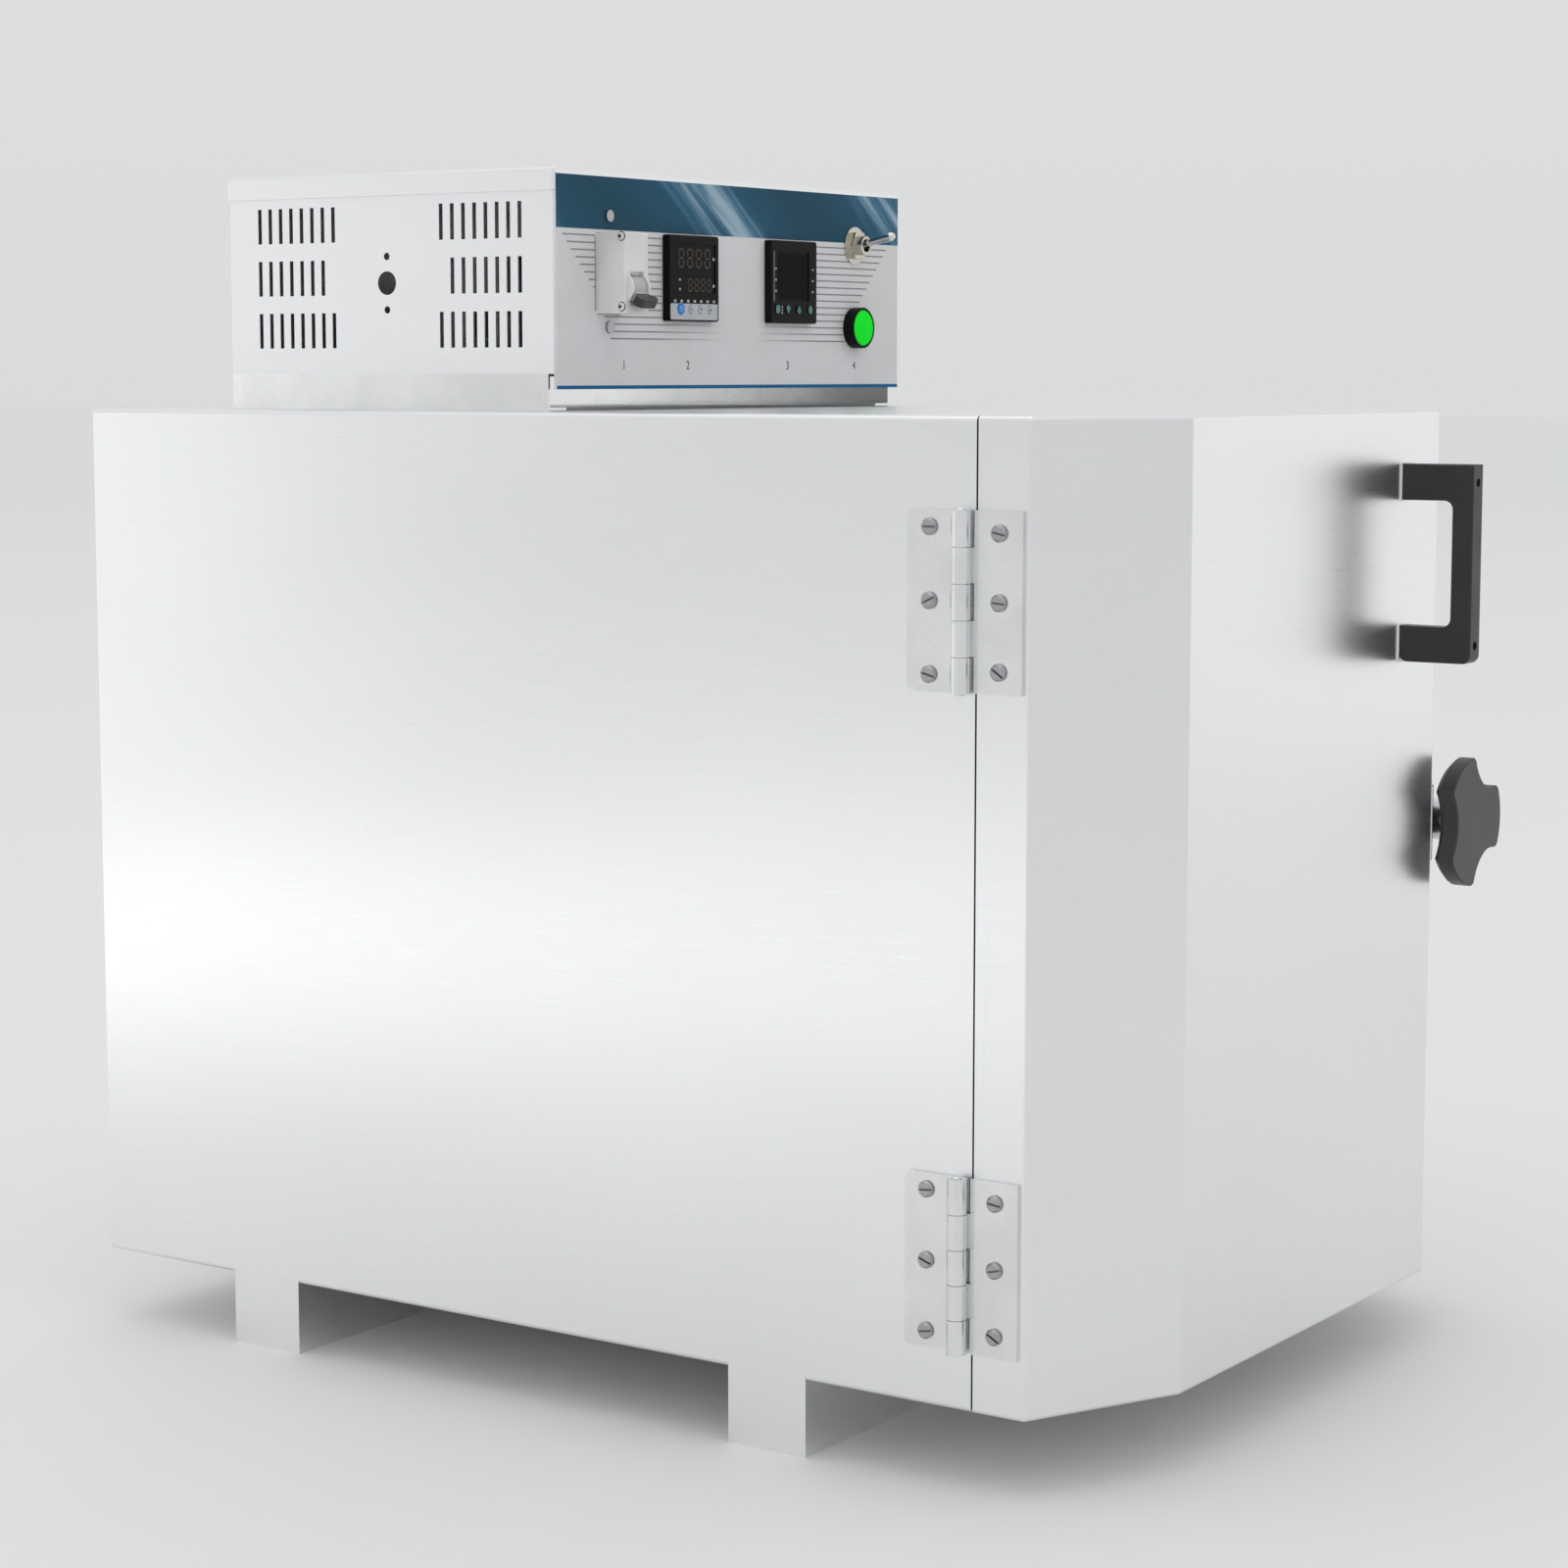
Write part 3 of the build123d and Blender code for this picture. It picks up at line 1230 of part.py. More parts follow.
# Bracket: an upright plate on the housing's floor that carries a top-hat rail for the breaker.
hat_y = breaker_rear_y + din_height
bracket_top = breaker_z + din_width / 2 - floor_z - sheet
with BuildPart() as breaker_bracket:
    with BuildSketch(facing_left(breaker_x + din_length / 2, breaker_rear_y, breaker_z)):
        for side in (-1, 1):
            with BuildLine():
                Polyline(
                    (0, side * din_width / 2),
                    (-sheet, side * din_width / 2),
                    (-sheet, side * (din_width / 2 - din_brim + sheet)),
                    (-din_height, side * (din_width / 2 - din_brim + sheet)),
                    (-din_height, side * (din_width / 2 - din_brim)),
                    (0, side * (din_width / 2 - din_brim)),
                    close=True,
                )
            make_face()
    extrude(amount=din_length)
    with BuildSketch(facing_left(breaker_x + din_length / 2, hat_y, floor_z + sheet)):
        with BuildLine():
            Polyline(
                (0, 0),
                (0, bracket_top),
                (-bracket_thickness, bracket_top),
                (-bracket_thickness, bracket_thickness),
                (-bracket_foot, bracket_thickness),
                (-bracket_foot, 0),
                close=True,
            )
        make_face()
    extrude(amount=din_length)
breaker_bracket.part.label = "breaker_bracket"
export_step(breaker_bracket.part, "parts/breaker_bracket.step")

# ---------------------------------------------------------------- instruments
bezel_y = panel_y - instrument_reach


def instrument_case(x, window, keys):
    """A panel meter: bezel, box behind the panel, sunk window and a blind pocket for each key."""
    width, height, across, up = window
    with BuildPart() as case:
        with BuildSketch(facing_front(panel_y, x, instrument_z)):
            RectangleRounded(instrument_size, instrument_size, instrument_corner)
        extrude(amount=instrument_reach)
        chamfer(case.faces().sort_by(Axis.Y)[0].edges(), bezel_bevel)
        with BuildSketch(facing_back(panel_y, x, instrument_z)):
            Rectangle(instrument_body, instrument_body)
        extrude(amount=instrument_depth)
        with BuildSketch(facing_front(bezel_y, x + across, instrument_z + up)):
            Rectangle(width, height)
        extrude(amount=-instrument_window_depth, mode=Mode.SUBTRACT)
        for key_across, key_up, radius in keys:
            with BuildSketch(facing_front(bezel_y, x + key_across, instrument_z + key_up)):
                Circle(radius + key_fit)
            extrude(amount=-key_length - key_fit, mode=Mode.SUBTRACT)
    return case


def key_cap(x, key):
    """One round key, proud of its bezel by its travel."""
    key_across, key_up, radius = key
    key_foot_y = bezel_y - key_travel + key_length
    with BuildPart() as cap:
        with BuildSketch(facing_front(key_foot_y, x + key_across, instrument_z + key_up)):
            Circle(radius)
        extrude(amount=key_length)
    return cap


# Windows are (width, height, across, up) and keys (across, up, radius), from the bezel's middle.
controller_window = (40.0, 28.0, 1.0, 5.5)
controller_keys = ((-13.8, -17.4, 3.2), (-3.9, -17.6, 2.2), (5.7, -17.6, 2.2), (15.3, -17.6, 2.2))
recorder_window = (33.6, 29.6, -1.0, 3.2)
recorder_keys = ((-18.2, -16.2, 2.5), (-7.2, -16.2, 2.5), (4.4, -16.2, 2.5), (16.6, -16.2, 2.5))

temperature_controller = instrument_case(instrument_x[0], controller_window, controller_keys)
temperature_controller.part.label = "temperature_controller"
export_step(temperature_controller.part, "parts/temperature_controller.step")

data_recorder = instrument_case(instrument_x[1], recorder_window, recorder_keys)
data_recorder.part.label = "data_recorder"
export_step(data_recorder.part, "parts/data_recorder.step")

for number, key in enumerate(controller_keys, 1):
    controller_key = key_cap(instrument_x[0], key)
    controller_key.part.label = f"controller_key_{number}"
    export_step(controller_key.part, f"parts/controller_key_{number}.step")

for number, key in enumerate(recorder_keys, 1):
    recorder_key = key_cap(instrument_x[1], key)
    recorder_key.part.label = f"recorder_key_{number}"
    export_step(recorder_key.part, f"parts/recorder_key_{number}.step")

# ---------------------------------------------------------------- toggle switch
toggle_pivot_y = panel_y - toggle_pivot_reach
with BuildPart() as toggle_switch:
    with BuildSketch(facing_back(housing_front_y, toggle_x, toggle_z)):
        Rectangle(toggle_body[0], toggle_body[2])
    extrude(amount=toggle_body[1])
    with BuildSketch(facing_front(housing_front_y, toggle_x, toggle_z)):
        Circle(toggle_bushing_radius)
    extrude(amount=panel_thickness + toggle_bushing_reach)
    with BuildSketch(facing_front(toggle_pivot_y + toggle_bore_radius, toggle_x, toggle_z)):
        Circle(toggle_bore_radius)
    extrude(amount=toggle_bushing_reach + panel_thickness, mode=Mode.SUBTRACT)
toggle_switch.part.label = "toggle_switch"
export_step(toggle_switch.part, "parts/toggle_switch.step")

with BuildPart() as toggle_nut:
    with BuildSketch(facing_front(panel_y, toggle_x, toggle_z)):
        Circle(toggle_washer_radius)
        Circle(toggle_bushing_radius, mode=Mode.SUBTRACT)
    extrude(amount=toggle_washer_thickness)
    with BuildSketch(facing_front(panel_y - toggle_washer_thickness, toggle_x, toggle_z)):
        RegularPolygon(toggle_nut_size / 2, 6, major_radius=False)
        Circle(toggle_bushing_radius, mode=Mode.SUBTRACT)
    extrude(amount=toggle_nut_thickness)
toggle_nut.part.label = "toggle_nut"
export_step(toggle_nut.part, "parts/toggle_nut.step")

# Lever: a tapered stem with a domed end, on a trunnion that turns across the bushing's bore.
toggle_up = radians(toggle_tilt)
lever_side = Plane(
    origin=(toggle_x, toggle_pivot_y, toggle_z),
    x_dir=(1, 0, 0),
    z_dir=(0, -sin(toggle_up), -cos(toggle_up)),
)
with BuildPart() as toggle_lever:
    with BuildSketch(facing_left(toggle_x + toggle_trunnion_length / 2, toggle_pivot_y, toggle_z)):
        Circle(toggle_trunnion_radius)
    extrude(amount=toggle_trunnion_length)
    with BuildSketch(lever_side):
        with BuildLine():
            Polyline(
                (0, 0),
                (toggle_stem_radius, 0),
                (toggle_tip_radius, toggle_length),
                (toggle_tip_radius - toggle_tip_bevel[0], toggle_length + toggle_tip_bevel[1]),
                (0, toggle_length + toggle_tip_radius),
                close=True,
            )
        make_face()
    revolve(axis=Axis(lever_side.origin, lever_side.y_dir))
toggle_lever.part.label = "toggle_lever"
export_step(toggle_lever.part, "parts/toggle_lever.step")

# ---------------------------------------------------------------- push button
cap_face_y = panel_y - button_reach
cap_well = button_cap_thickness + button_travel + button_fit
with BuildPart() as push_button_body:
    with BuildSketch(facing_front(panel_y, toggle_x, button_z)):
        Circle(button_radius)
    extrude(amount=button_reach)
    chamfer(push_button_body.faces().sort_by(Axis.Y)[0].edges(), bezel_bevel)
    with BuildSketch(facing_back(panel_y, toggle_x, button_z)):
        Circle(button_barrel_radius)
    extrude(amount=panel_thickness + button_barrel_length)
    with BuildSketch(facing_front(cap_face_y, toggle_x, button_z)):
        Circle(button_cap_radius + button_fit)
    extrude(amount=-cap_well, mode=Mode.SUBTRACT)
    with BuildSketch(facing_front(cap_face_y, toggle_x, button_z)):
        Circle(button_stem_radius + button_fit)
    extrude(amount=-button_reach - panel_thickness - button_barrel_length, mode=Mode.SUBTRACT)
push_button_body.part.label = "push_button_body"
export_step(push_button_body.part, "parts/push_button_body.step")

block_y = housing_front_y + button_barrel_length
stem_end_y = block_y - button_travel - button_fit
with BuildPart() as push_button_cap:
    with BuildSketch(facing_back(cap_face_y, toggle_x, button_z)):
        Circle(button_cap_radius)
    extrude(amount=button_cap_thickness)
    chamfer(push_button_cap.faces().sort_by(Axis.Y)[0].edges(), button_cap_bevel)
    with BuildSketch(facing_back(cap_face_y + button_cap_thickness, toggle_x, button_z)):
        Circle(button_stem_radius)
    extrude(amount=stem_end_y - cap_face_y - button_cap_thickness)
push_button_cap.part.label = "push_button_cap"
export_step(push_button_cap.part, "parts/push_button_cap.step")

with BuildPart() as push_button_block:
    with BuildSketch(facing_back(block_y, toggle_x, button_z)):
        Rectangle(contact_block[0], contact_block[2])
    extrude(amount=contact_block[1])
    chamfer(push_button_block.edges().filter_by(Axis.Y), contact_block_bevel)
push_button_block.part.label = "push_button_block"
export_step(push_button_block.part, "parts/push_button_block.step")

# ---------------------------------------------------------------- inside the box
tray_z = floor_z + sheet
relay_plane = Plane(origin=(middle_x + relay_offset[0], box_middle_y + relay_offset[1], tray_z))
channel_pitch = relay_base[0] / (relay_channels + 1)
with BuildPart() as relay_heat_sink:
    with BuildSketch(relay_plane):
        Rectangle(relay_base[0], relay_base[1])
    extrude(amount=relay_base[2])
    with BuildSketch(relay_plane):
        with GridLocations(channel_pitch, 0, relay_channels, 1):
            Rectangle(relay_channel[0], relay_base[1])
    extrude(amount=relay_channel[1], mode=Mode.SUBTRACT)
relay_heat_sink.part.label = "relay_heat_sink"
export_step(relay_heat_sink.part, "parts/relay_heat_sink.step")

with BuildPart() as solid_state_relay:
    with BuildSketch(relay_plane.offset(relay_base[2])):
        Rectangle(relay_size[0], relay_size[1])
    extrude(amount=relay_size[2])
    with BuildSketch(relay_plane.offset(relay_base[2] + relay_size[2])):
        with GridLocations(relay_post_pitch[0], relay_post_pitch[1], 2, 2):
            Rectangle(relay_post_recess[0], relay_post_recess[1])
    extrude(amount=-relay_post_recess[2], mode=Mode.SUBTRACT)
solid_state_relay.part.label = "solid_state_relay"
export_step(solid_state_relay.part, "parts/solid_state_relay.step")

terminal_plane = Plane(
    origin=(middle_x + terminal_block_offset[0], box_middle_y + terminal_block_offset[1], tray_z)
)
with BuildPart() as terminal_block:
    with BuildSketch(terminal_plane):
        Rectangle(terminal_pitch * terminal_ways, terminal_block_size[0])
    extrude(amount=terminal_block_size[1])
    with BuildSketch(terminal_plane.offset(terminal_block_size[1])):
        with GridLocations(terminal_pitch, terminal_block_size[0] / 2, terminal_ways, 2):
            Rectangle(terminal_recess[0], terminal_recess[0])
    extrude(amount=-terminal_recess[1], mode=Mode.SUBTRACT)
terminal_block.part.label = "terminal_block"
export_step(terminal_block.part, "parts/terminal_block.step")

# Mains inlet: a gland with its nut inside the housing's back.
with BuildPart() as cable_gland:
    with BuildSketch(gland_plane):
        RegularPolygon(gland_hex / 2, 6, major_radius=False)
    extrude(amount=gland_nut)
    with BuildSketch(gland_plane.offset(gland_nut)):
        Circle(gland_radius)
    extrude(amount=gland_dome)
    chamfer(cable_gland.faces().sort_by(Axis.Y)[-1].edges(), gland_dome_bevel)
    with BuildSketch(gland_plane.offset(-sheet)):
        Circle(gland_radius)
    extrude(amount=sheet)
    with BuildSketch(gland_plane.offset(-sheet - gland_lock_nut)):
        RegularPolygon(gland_hex / 2, 6, major_radius=False)
    extrude(amount=gland_lock_nut)
    with BuildSketch(gland_plane.offset(-sheet - gland_lock_nut)):
        Circle(gland_bore)
    extrude(amount=sheet + gland_lock_nut + gland_nut + gland_dome, mode=Mode.SUBTRACT)
cable_gland.part.label = "cable_gland"
export_step(cable_gland.part, "parts/cable_gland.step")

# Conduit: the short brimmed tube that takes the wires from the box into the cabinet.
with BuildPart() as wiring_conduit:
    with BuildSketch(level(inner_roof)):
        with Locations((conduit_x, conduit_y)):
            Circle(conduit_radius)
    extrude(amount=tray_z - inner_roof)
    for brim_z in (roof_z, tray_z):
        with BuildSketch(level(brim_z)):
            with Locations((conduit_x, conduit_y)):
                Circle(conduit_radius + conduit_brim)
        extrude(amount=conduit_wall)
    with BuildSketch(level(inner_roof)):
        with Locations((conduit_x, conduit_y)):
            Circle(conduit_radius - conduit_wall)
    extrude(amount=tray_z + conduit_wall - inner_roof, mode=Mode.SUBTRACT)
wiring_conduit.part.label = "wiring_conduit"
export_step(wiring_conduit.part, "parts/wiring_conduit.step")
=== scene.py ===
"""Muffle furnace: finishes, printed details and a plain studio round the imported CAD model.

Metres, +Z up. The door faces -Y and hangs on the -X side; the control box stands on the roof.
"""
import math

import bmesh
import bpy
from mathutils import Matrix, Vector


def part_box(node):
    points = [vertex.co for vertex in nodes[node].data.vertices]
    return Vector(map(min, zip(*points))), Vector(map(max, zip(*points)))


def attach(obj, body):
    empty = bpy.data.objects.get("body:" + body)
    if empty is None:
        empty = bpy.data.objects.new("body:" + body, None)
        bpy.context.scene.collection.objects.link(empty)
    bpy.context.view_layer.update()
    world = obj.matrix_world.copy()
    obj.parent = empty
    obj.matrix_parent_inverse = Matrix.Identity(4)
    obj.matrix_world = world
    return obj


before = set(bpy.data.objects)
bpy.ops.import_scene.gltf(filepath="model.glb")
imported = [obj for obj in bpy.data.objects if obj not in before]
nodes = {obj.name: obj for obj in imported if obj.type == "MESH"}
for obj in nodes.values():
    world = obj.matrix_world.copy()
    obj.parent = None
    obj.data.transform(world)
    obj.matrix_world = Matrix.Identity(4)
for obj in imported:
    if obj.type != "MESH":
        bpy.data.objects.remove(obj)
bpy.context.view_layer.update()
scene = bpy.context.scene
MM = 0.001

# ---------------------------------------------------------------- camera
CAMERA_PLACE = Vector((-1.71355, -1.13100, 0.56212))
CAMERA_YAW = math.radians(55.935)  # clockwise from +Y
CAMERA_DIP = math.radians(6.676)
LENS_MM = 80.86


def make_camera():
    """The camera at the photograph's place, with no shift."""
    ahead = Vector((
        math.sin(CAMERA_YAW) * math.cos(CAMERA_DIP),
        math.cos(CAMERA_YAW) * math.cos(CAMERA_DIP),
        -math.sin(CAMERA_DIP),
    ))
    right = Vector((math.cos(CAMERA_YAW), -math.sin(CAMERA_YAW), 0.0))
    up = right.cross(ahead)
    data = bpy.data.cameras.new("camera")
    data.lens = LENS_MM
    data.sensor_width = 36.0
    data.clip_start = 0.01
    data.clip_end = 200.0
    camera = bpy.data.objects.new("camera", data)
    turn = Matrix((right, up, -ahead)).transposed().to_4x4()
    camera.matrix_world = Matrix.Translation(CAMERA_PLACE) @ turn
    scene.collection.objects.link(camera)
    scene.camera = camera


make_camera()


# ---------------------------------------------------------------- finishes
def colour(hex_code):
    """Linear RGBA of an sRGB colour such as 2A5378."""
    channels = [int(hex_code[i:i + 2], 16) / 255 for i in (0, 2, 4)]
    linear = [c / 12.92 if c <= 0.04045 else ((c + 0.055) / 1.055) ** 2.4 for c in channels]
    return (*linear, 1.0)


class Finish:
    """A procedural material: a Principled shader and the nodes that vary it over the surface."""

    def __init__(self, name, base, roughness, metallic=0.0, **sockets):
        self.material = bpy.data.materials.new(name)
        self.material.use_nodes = True
        self.tree = self.material.node_tree
        self.shader = self.tree.nodes["Principled BSDF"]
        self.base = colour(base)
        self.shader.inputs["Base Color"].default_value = self.base
        self.shader.inputs["Roughness"].default_value = roughness
        self.shader.inputs["Metallic"].default_value = metallic
        for socket, value in sockets.items():
            self.shader.inputs[socket.replace("_", " ")].default_value = value
        self.place = self.node("ShaderNodeTexCoord").outputs["Object"]
        self.normal = None

    def node(self, kind, **settings):
        made = self.tree.nodes.new(kind)
        for key, value in settings.items():
            setattr(made, key, value)
        return made

    def link(self, start, end):
        self.tree.links.new(start, end)

    def noise(self, scale, stretch=(1, 1, 1), detail=3.0, distortion=0.0):
        """A noise factor; scale is in features per metre, stretch multiplies it along each axis."""
        mapping = self.node("ShaderNodeMapping")
        mapping.inputs["Scale"].default_value = stretch
        self.link(self.place, mapping.inputs["Vector"])
        noise = self.node("ShaderNodeTexNoise")
        noise.inputs["Scale"].default_value = scale
        noise.inputs["Detail"].default_value = detail
        noise.inputs["Distortion"].default_value = distortion
        self.link(mapping.outputs["Vector"], noise.inputs["Vector"])
        return noise.outputs["Fac"]

    def ramp(self, factor, stops):
        """A colour ramp; stops are (position, RGBA or grey)."""
        ramp = self.node("ShaderNodeValToRGB")
        elements = ramp.color_ramp.elements
        while len(elements) < len(stops):
            elements.new(0.5)
        for element, (position, value) in zip(elements, stops):
            element.position = position
            element.color = value if isinstance(value, tuple) else (value, value, value, 1.0)
        self.link(factor, ramp.inputs["Fac"])
        return ramp.outputs["Color"]

    def stain(self, factor, dark, light, low=0.35, high=0.65):
        """Base colour runs from dark to light with the factor."""
        tint = self.ramp(factor, [(low, colour(dark)), (high, colour(light))])
        self.link(tint, self.shader.inputs["Base Color"])
        return self

    def polish(self, factor, smooth, rough, low=0.3, high=0.7):
        """Roughness runs from smooth to rough with the factor."""
        reach = self.node("ShaderNodeMapRange")
        reach.inputs["From Min"].default_value = low
        reach.inputs["From Max"].default_value = high
        reach.inputs["To Min"].default_value = smooth
        reach.inputs["To Max"].default_value = rough
        self.link(factor, reach.inputs["Value"])
        self.link(reach.outputs["Result"], self.shader.inputs["Roughness"])
        return self

    def bump(self, factor, depth, strength=1.0):
        """Relief of that depth in metres; a second call adds to the first."""
        bump = self.node("ShaderNodeBump")
        bump.inputs["Strength"].default_value = strength
        bump.inputs["Distance"].default_value = depth
        self.link(factor, bump.inputs["Height"])
        if self.normal:
            self.link(self.normal, bump.inputs["Normal"])
        self.normal = bump.outputs["Normal"]
        self.link(self.normal, self.shader.inputs["Normal"])
        return self


def brushed(name, dark, light, smooth, rough, grain=(1, 1, 60), depth=0.000004):
    """Satin sheet: faint fine streaks along the grain and very soft clouds."""
    finish = Finish(name, light, rough, 1.0)
    streaks = finish.noise(22.0, grain, detail=6.0)
    clouds = finish.noise(4.0, (1, 1, 2), detail=2.0)
    finish.stain(clouds, dark, light, 0.2, 0.8)
    finish.polish(streaks, smooth, rough)
    finish.bump(streaks, depth, 0.2)
    return finish.material


def metal(name, dark, light, smooth, rough, depth=0.00001, scale=260.0):
    """Plain bright metal with faint handling marks."""
    finish = Finish(name, light, rough, 1.0)
    marks = finish.noise(scale, detail=5.0, distortion=0.3)
    finish.stain(finish.noise(scale / 8, detail=2.0), dark, light)
    finish.polish(marks, smooth, rough)
    finish.bump(marks, depth, 0.4)
    return finish.material


def slotted(name, dark, light, smooth, rough, reach=0.0015):
    """Bright metal with painted shade: ambient occlusion darkens its colour in its slots and round the foot
    of its head.
    """
    finish = Finish(name, light, rough, 1.0)
    # Painted shade: the colour darkens where the surface is hemmed in, in the slots and round the head's
    # foot.
    slot_shade = finish.node("ShaderNodeAmbientOcclusion")
    slot_shade.inputs["Distance"].default_value = reach
    finish.stain(slot_shade.outputs["AO"], dark, light, 0.35, 0.85)
    marks = finish.noise(260.0, detail=5.0)
    finish.polish(marks, smooth, rough)
    finish.bump(marks, 0.00001, 0.4)
    return finish.material


def plastic(name, dark, light, smooth, rough, depth=0.00003, scale=1800.0, **sockets):
    """Moulded plastic with a fine spark-eroded grain."""
    finish = Finish(name, light, rough, 0.0, **sockets)
    grain = finish.noise(scale, detail=3.0)
    clouds = finish.noise(40.0, detail=3.0)
    finish.stain(clouds, dark, light)
    finish.polish(clouds, smooth, rough)
    finish.bump(grain, depth, 0.5)
    return finish.material


def film(name, dark, light, smooth, rough, gloss=0.5):
    """Printed or painted film: nearly flat, with its sheen set by gloss."""
    return plastic(name, dark, light, smooth, rough, 0.000006, 900.0, Specular_IOR_Level=gloss)


def mineral(name, dark, light, rough, scale, depth, stretch=(1, 1, 1)):
    """Fired ceramic or fibre board: speckled, matt and slightly rough."""
    finish = Finish(name, light, rough, 0.0)
    speckle = finish.noise(scale, stretch, detail=8.0)
    clouds = finish.noise(scale / 25, stretch, detail=4.0)
    finish.stain(clouds, dark, light, 0.3, 0.7)
    finish.polish(speckle, rough - 0.08, rough + 0.05)
    finish.bump(speckle, depth, 0.8)
    return finish.material


steel = brushed("steel_brushed", "EBECEE", "EFF0F1", 0.27, 0.32)
box_steel = brushed("steel_box", "EDEEF0", "F1F2F3", 0.36, 0.42)
bright = metal("steel_bright", "E2E3E4", "EAEBEC", 0.22, 0.28, depth=0.000003)
screw_steel = slotted("steel_screw", "5A5B5D", "A9AAAC", 0.26, 0.38)
zinc = metal("steel_zinc", "B4B8BB", "CCCFD2", 0.34, 0.46, scale=120.0)
chrome = metal("chrome", "D8D8DA", "EAEAEC", 0.12, 0.20, depth=0.000002)
nickel = metal("nickel", "B5B1A6", "D6D2C6", 0.16, 0.28)
alloy = metal("alloy", "B4B7BA", "CED0D2", 0.28, 0.40)
ribbon_alloy = metal("ribbon_alloy", "4A423B", "6B6055", 0.45, 0.62)
ceramic = mineral("fired_ceramic", "D9D2C2", "EDE8DC", 0.82, 900.0, 0.0004)
wool = mineral("fibre_board", "E0DCD2", "F4F2EC", 0.92, 700.0, 0.0010, (1, 1, 2.5))
rope = mineral("fibre_rope", "CFC8B6", "EDE8DA", 0.90, 420.0, 0.0012, (1, 3, 1))
panel_film = film("panel_film", "DADADB", "DEDEE0", 0.42, 0.50, 0.15)
black = plastic("black_bezel", "0E0E0F", "161617", 0.34, 0.46, Specular_IOR_Level=0.08)
dark = plastic("dark_plastic", "2A2B2C", "343536", 0.38, 0.50)
charcoal = plastic("charcoal_plastic", "1E1E1F", "262627", 0.36, 0.48)
knob_grey = plastic("knob_plastic", "2C2C2D", "363637", 0.34, 0.46)
white = plastic("white_plastic", "DCDDDA", "EAEAE7", 0.32, 0.42)
# Painted light: a faint green emission makes the cap glow as if lit.
green = plastic("green_cap_painted_glow", "00C41C", "00D824", 0.28, 0.36, 0.000006, 500.0, Specular_IOR_Level=0.05,
                Emission_Color=colour("00E62A"), Emission_Strength=0.30)
key_blue = plastic("key_blue", "0F74C4", "1A86D8", 0.30, 0.42, Specular_IOR_Level=0.15)
key_grey = plastic("key_grey", "B0B3B8", "BABDC2", 0.34, 0.46, Specular_IOR_Level=0.2)
key_teal = plastic("key_teal", "4A6E6D", "5E8482", 0.40, 0.50, Specular_IOR_Level=0.3)

# Breaker lever: a pale drum about the pivot and a dark handle beyond it
BREAKER_PIVOT = (0.0, 0.04955, 0.6081)
DRUM_RADIUS = 0.0098


def lever_print():
    """Pale near the pivot's axis, dark further out."""
    finish = Finish("breaker_lever", "2C2D2E", 0.40)
    offset = finish.node("ShaderNodeVectorMath", operation="SUBTRACT")
    offset.inputs[1].default_value = BREAKER_PIVOT
    finish.link(finish.place, offset.inputs[0])
    across = finish.node("ShaderNodeVectorMath", operation="MULTIPLY")
    across.inputs[1].default_value = (0, 1, 1)
    finish.link(offset.outputs["Vector"], across.inputs[0])
    size = finish.node("ShaderNodeVectorMath", operation="LENGTH")
    finish.link(across.outputs["Vector"], size.inputs[0])
    beyond = finish.node("ShaderNodeMath", operation="GREATER_THAN")
    beyond.inputs[1].default_value = DRUM_RADIUS
    finish.link(size.outputs["Value"], beyond.inputs[0])
    finish.stain(beyond.outputs["Value"], "B9BBBE", "2C2D2E", 0.4, 0.6)
    finish.polish(finish.noise(60.0), 0.34, 0.46)
    finish.bump(finish.noise(1800.0), 0.00002, 0.5)
    return finish.material


lever_grey = lever_print()

FINISHES = {
    steel: "outer_casing skids front_frame back_cover door_shell door_back_plate",
    box_steel: "control_housing control_lid",
    zinc: "latch_keeper insulation_retainer breaker_bracket wiring_conduit latch_pawl",
    bright: "hinge_cabinet_leaves hinge_door_leaves hinge_pins back_cover_screws latch_shaft latch_bearing "
            "box_rails",
    screw_steel: "cabinet_leaf_screws door_leaf_screws box_screws handle_screws",
    chrome: "latch_escutcheon toggle_lever",
    nickel: "toggle_switch toggle_nut",
    alloy: "relay_heat_sink",
    ribbon_alloy: "heating_ribbon",
    ceramic: "muffle_chamber element_terminals thermocouple door_plug",
    wool: "insulation_slabs insulation_sides insulation_back door_insulation",
    rope: "door_gasket",
    panel_film: "front_panel",
    black: "temperature_controller data_recorder push_button_body recorder_key_1 recorder_key_2 "
           "recorder_key_3 recorder_key_4",
    dark: "push_button_block solid_state_relay cable_gland",
    charcoal: "door_handle",
    knob_grey: "latch_knob",
    white: "breaker_case terminal_block",
    green: "push_button_cap",
    key_blue: "controller_key_1",
    key_grey: "controller_key_2 controller_key_3 controller_key_4",
    lever_grey: "breaker_lever",
}
for material, names in FINISHES.items():
    for name in names.split():
        nodes[name].data.materials.clear()
        nodes[name].data.materials.append(material)


# ---------------------------------------------------------------- pieces
def make_piece(name, body, material, parts):
    """One object from closed meshes; parts are (vertices, faces)."""
    mesh = bpy.data.meshes.new(name)
    vertices, faces = [], []
    for part_vertices, part_faces in parts:
        start = len(vertices)
        vertices += part_vertices
        faces += [[start + i for i in face] for face in part_faces]
    mesh.from_pydata(vertices, [], faces)
    tidy = bmesh.new()
    tidy.from_mesh(mesh)
    bmesh.ops.recalc_face_normals(tidy, faces=tidy.faces)
    tidy.to_mesh(mesh)
    tidy.free()
    mesh.materials.append(material)
    piece = bpy.data.objects.new(name, mesh)
    scene.collection.objects.link(piece)
    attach(piece, body)
    return piece


